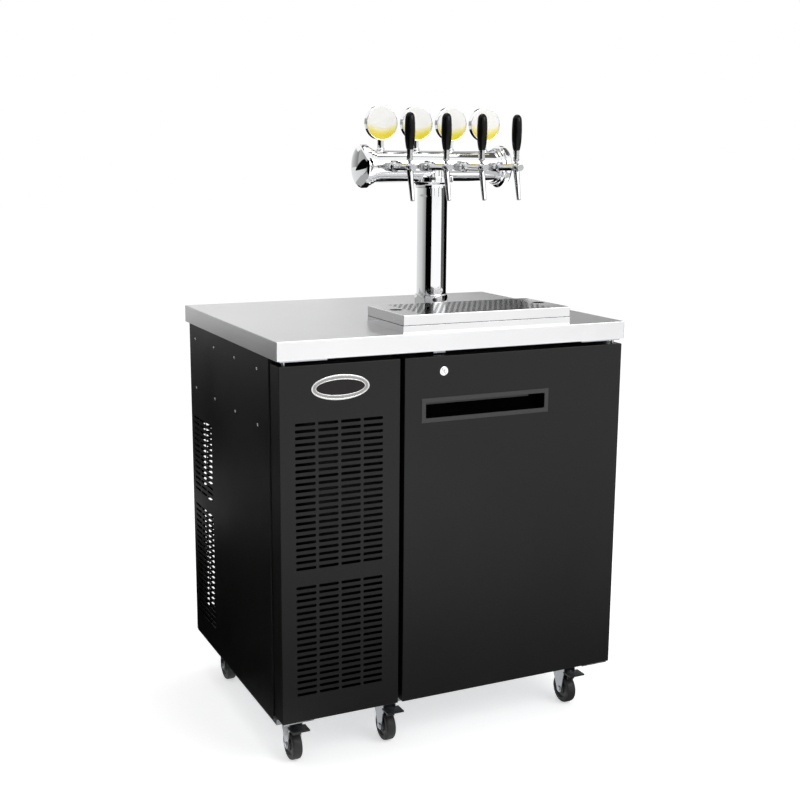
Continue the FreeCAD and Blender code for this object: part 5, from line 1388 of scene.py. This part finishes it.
class COOLER_OT_inside(bpy.types.Operator):
    """Machine room and keg room: heat exchangers, fans, compressor, control box and liner"""
    bl_idname = "cooler.inside"
    bl_label = "Machine room and keg room"

    def execute(self, context):
        self.condenser()
        reuse("shroud_sheet", "fan_shroud", 0.5, CABINET, "black_powder_coat")
        reuse("motor_cans", "fan_motors", 0.8, CABINET, "black_enamel", 3)
        for node in ("condenser_fan", "evaporator_fan"):
            reuse(node + "_blades", node, 0.3, node, "textured_black_abs",
                  angle=50)
        self.compressor()
        reuse("control_case", "control_box", 2, CABINET, "textured_black_abs", 3)
        self.cooler_cover()
        reuse("liner_tub", "cabinet_liner", 0.5, CABINET, "stucco_aluminium")
        dress("black_powder_coat", "partition_wall", "ceiling_wall", "right_wall")
        dress("cut_foam", "back_wall")
        dress("galvanised_sheet", "floor_wall")
        dress("fin_aluminium", "evaporator_coil")
        dress("milky_hose", "beer_lines")
        return {"FINISHED"}

    def condenser(self):
        """Zigzag fins on seven tubes, between two end plates that stand on the base."""
        pitch = sizes().fin_pitch / UNIT
        low, high = box_of("condenser_coil")
        foot, tube_end, flange, tubes_high = box_of("fan_shroud")[0][2], 8, 14, 7
        left, right = low[0] + tube_end, high[0] - tube_end
        fin = zigzag_fin("fins", (left + 3, low[1] + 1, foot + 1),
                         (left + 3, high[1] - 1, high[2] - 1))
        row(fin, int((right - left - 6) / pitch), x=pitch)
        tubes = turned("tubes", "x", ((low[1] + high[1]) / 2,
                                      foot + (high[2] - foot) / (2 * tubes_high)),
                       at(low[0], [(0, 0), (0, 3.4), (1.4, 5)])
                       + at(high[0], [(-1.4, 5), (0, 3.4), (0, 0)]), 20)
        row(tubes, tubes_high, z=(high[2] - foot) / tubes_high)
        ends = []
        for place, side in ((left, 1), (right, -1)):
            inner = place + flange * side
            plate = opened("end_plate", (min(place, inner), low[1], low[2]),
                           (max(place, inner), high[1], high[2]),
                           lambda centre, direction: abs(direction.x) > 0.9
                           and near(centre.x, inner, 1) or abs(direction.y) > 0.9)
            round_edges(lambda centre, direction: near(centre.x, place), 1.5, 2)
            ends.append(thicken(plate))
        done(joined("condenser_core", [fin, tubes] + ends), CABINET, "coated_fins",
             "condenser_coil")

    def compressor(self):
        """A welded pot on a sole plate with four grommets, and its terminal cover."""
        low, high = box_of("compressor")
        centre = middle_of("compressor")
        pot, crown = low[2] + 22, high[2]
        shell = turned("pot", "z", centre, [(pot, 0)] + flowing(at(pot, [
            (0.5, 40), (14, 58), (30, 62), (74, 62)]), 3) + at(pot, [
                (78, 62), (78.6, 63.4), (82.4, 63.4), (83, 62)]) + flowing(at(pot, [
                    (86, 61.6), (128, 58), (150, 46)]) + [(crown - 2, 24)], 4)
            + [(crown, 12), (crown, 0)], 64)
        sole = block("sole", (low[0], low[1], low[2] + 12), (high[0], high[1], low[2] + 18))
        edit(sole)
        round_edges(lambda place, direction: abs(direction.z) > 0.9, 16, 6)
        soften(sole, 1.2)
        lid = block("terminal_cover", (centre[0] + 50, centre[1] - 24, pot + 36),
                    (centre[0] + 80, centre[1] + 24, pot + 92))
        soften(lid, 5, 4)
        done(joined("compressor_pot", [shell, sole, lid]), CABINET, "black_enamel",
             "compressor")
        across, back = 150, 80
        grommet = looped("grommets", "z", (centre[0] - across / 2, centre[1] - back / 2),
                         at(low[2], [(0, 4), (0, 8.4), (1, 9), (5, 9), (6, 7.4), (7, 7.4),
                                     (8, 9), (11, 9), (12, 8.4), (12, 4)]), 28)
        row(grommet, 2, x=across)
        row(grommet, 2, y=back)
        done(grommet, CABINET, "soft_pvc", "compressor")

    def cooler_cover(self):
        """The keg room's cooler: a moulded cover with a round outlet and a wire guard."""
        low, high = box_of("evaporator_cover")
        face = high[0]
        middle = middle_of("evaporator_fan", (1, 2))
        cover = opened("cooler_cover", low, high, lambda place, direction: direction.x < -0.9)
        round_edges(lambda place, direction: place.x > low[0] + 1, 9, 4)
        thicken(cover, 2)
        carve(cover, turned("outlet", "x", middle, at(face, [
            (-8, 0), (-8, 50), (4, 50), (4, 0)]), 64))
        slot = block("intake", (low[0] + 14, low[1] + 20, low[2] - 4),
                     (low[0] + 20, high[1] - 20, low[2] + 6))
        row(slot, 4, x=13)
        carve(cover, slot)
        done(cover, CABINET, "formed_white_plastic", "evaporator_cover")
        wires = [looped("wire", "x", middle, at(face, [
            (-1.6, radius), (-0.8, radius + 0.8), (0, radius), (-0.8, radius - 0.8)]), 40)
            for radius in (16, 27, 38, 49)]
        for turn in (0, 60, 120):
            spoke = block("spoke", (face - 2.8, -51, -0.8), (face - 1.4, 51, 0.8))
            soften(spoke, 0.4, 2)
            wires.append(stand(spoke, (turn, 0, 0), (0, *middle)))
        done(joined("fan_guard", wires), CABINET, "zinc_plate",
             "evaporator_cover")


OPERATORS = (
    COOLER_OT_stage, COOLER_OT_worktop, COOLER_OT_cabinet, COOLER_OT_screws, COOLER_OT_grille,
    COOLER_OT_door, COOLER_OT_tower, COOLER_OT_taps, COOLER_OT_medallions, COOLER_OT_tray,
    COOLER_OT_casters, COOLER_OT_inside,
)


class COOLER_PT_panel(bpy.types.Panel):
    """Lists the cooler's sizes, finishes and pieces"""
    bl_label = "Draft beer cooler"
    bl_idname = "COOLER_PT_panel"
    bl_space_type = "VIEW_3D"
    bl_region_type = "UI"
    bl_category = "Cooler"

    def draw(self, context):
        for group in (context.scene.cooler_sizes, context.scene.cooler_finishes):
            column = self.layout.column(align=True)
            for name in group.__annotations__:
                column.prop(group, name)
        column = self.layout.column(align=True)
        for operator in OPERATORS:
            column.operator(operator.bl_idname)


def register():
    for item in (CoolerFinishes, CoolerSizes) + OPERATORS + (COOLER_PT_panel,):
        bpy.utils.register_class(item)
    bpy.types.Scene.cooler_finishes = bpy.props.PointerProperty(type=CoolerFinishes)
    bpy.types.Scene.cooler_sizes = bpy.props.PointerProperty(type=CoolerSizes)


def unregister():
    del bpy.types.Scene.cooler_sizes
    del bpy.types.Scene.cooler_finishes
    for item in reversed((CoolerFinishes, CoolerSizes) + OPERATORS + (COOLER_PT_panel,)):
        bpy.utils.unregister_class(item)


def main():
    register()
    bpy.context.scene.view_settings.view_transform = "Standard"
    for operator in OPERATORS:
        group, name = operator.bl_idname.split(".")
        getattr(getattr(bpy.ops, group), name)()


if __name__ == "__main__":
    main()
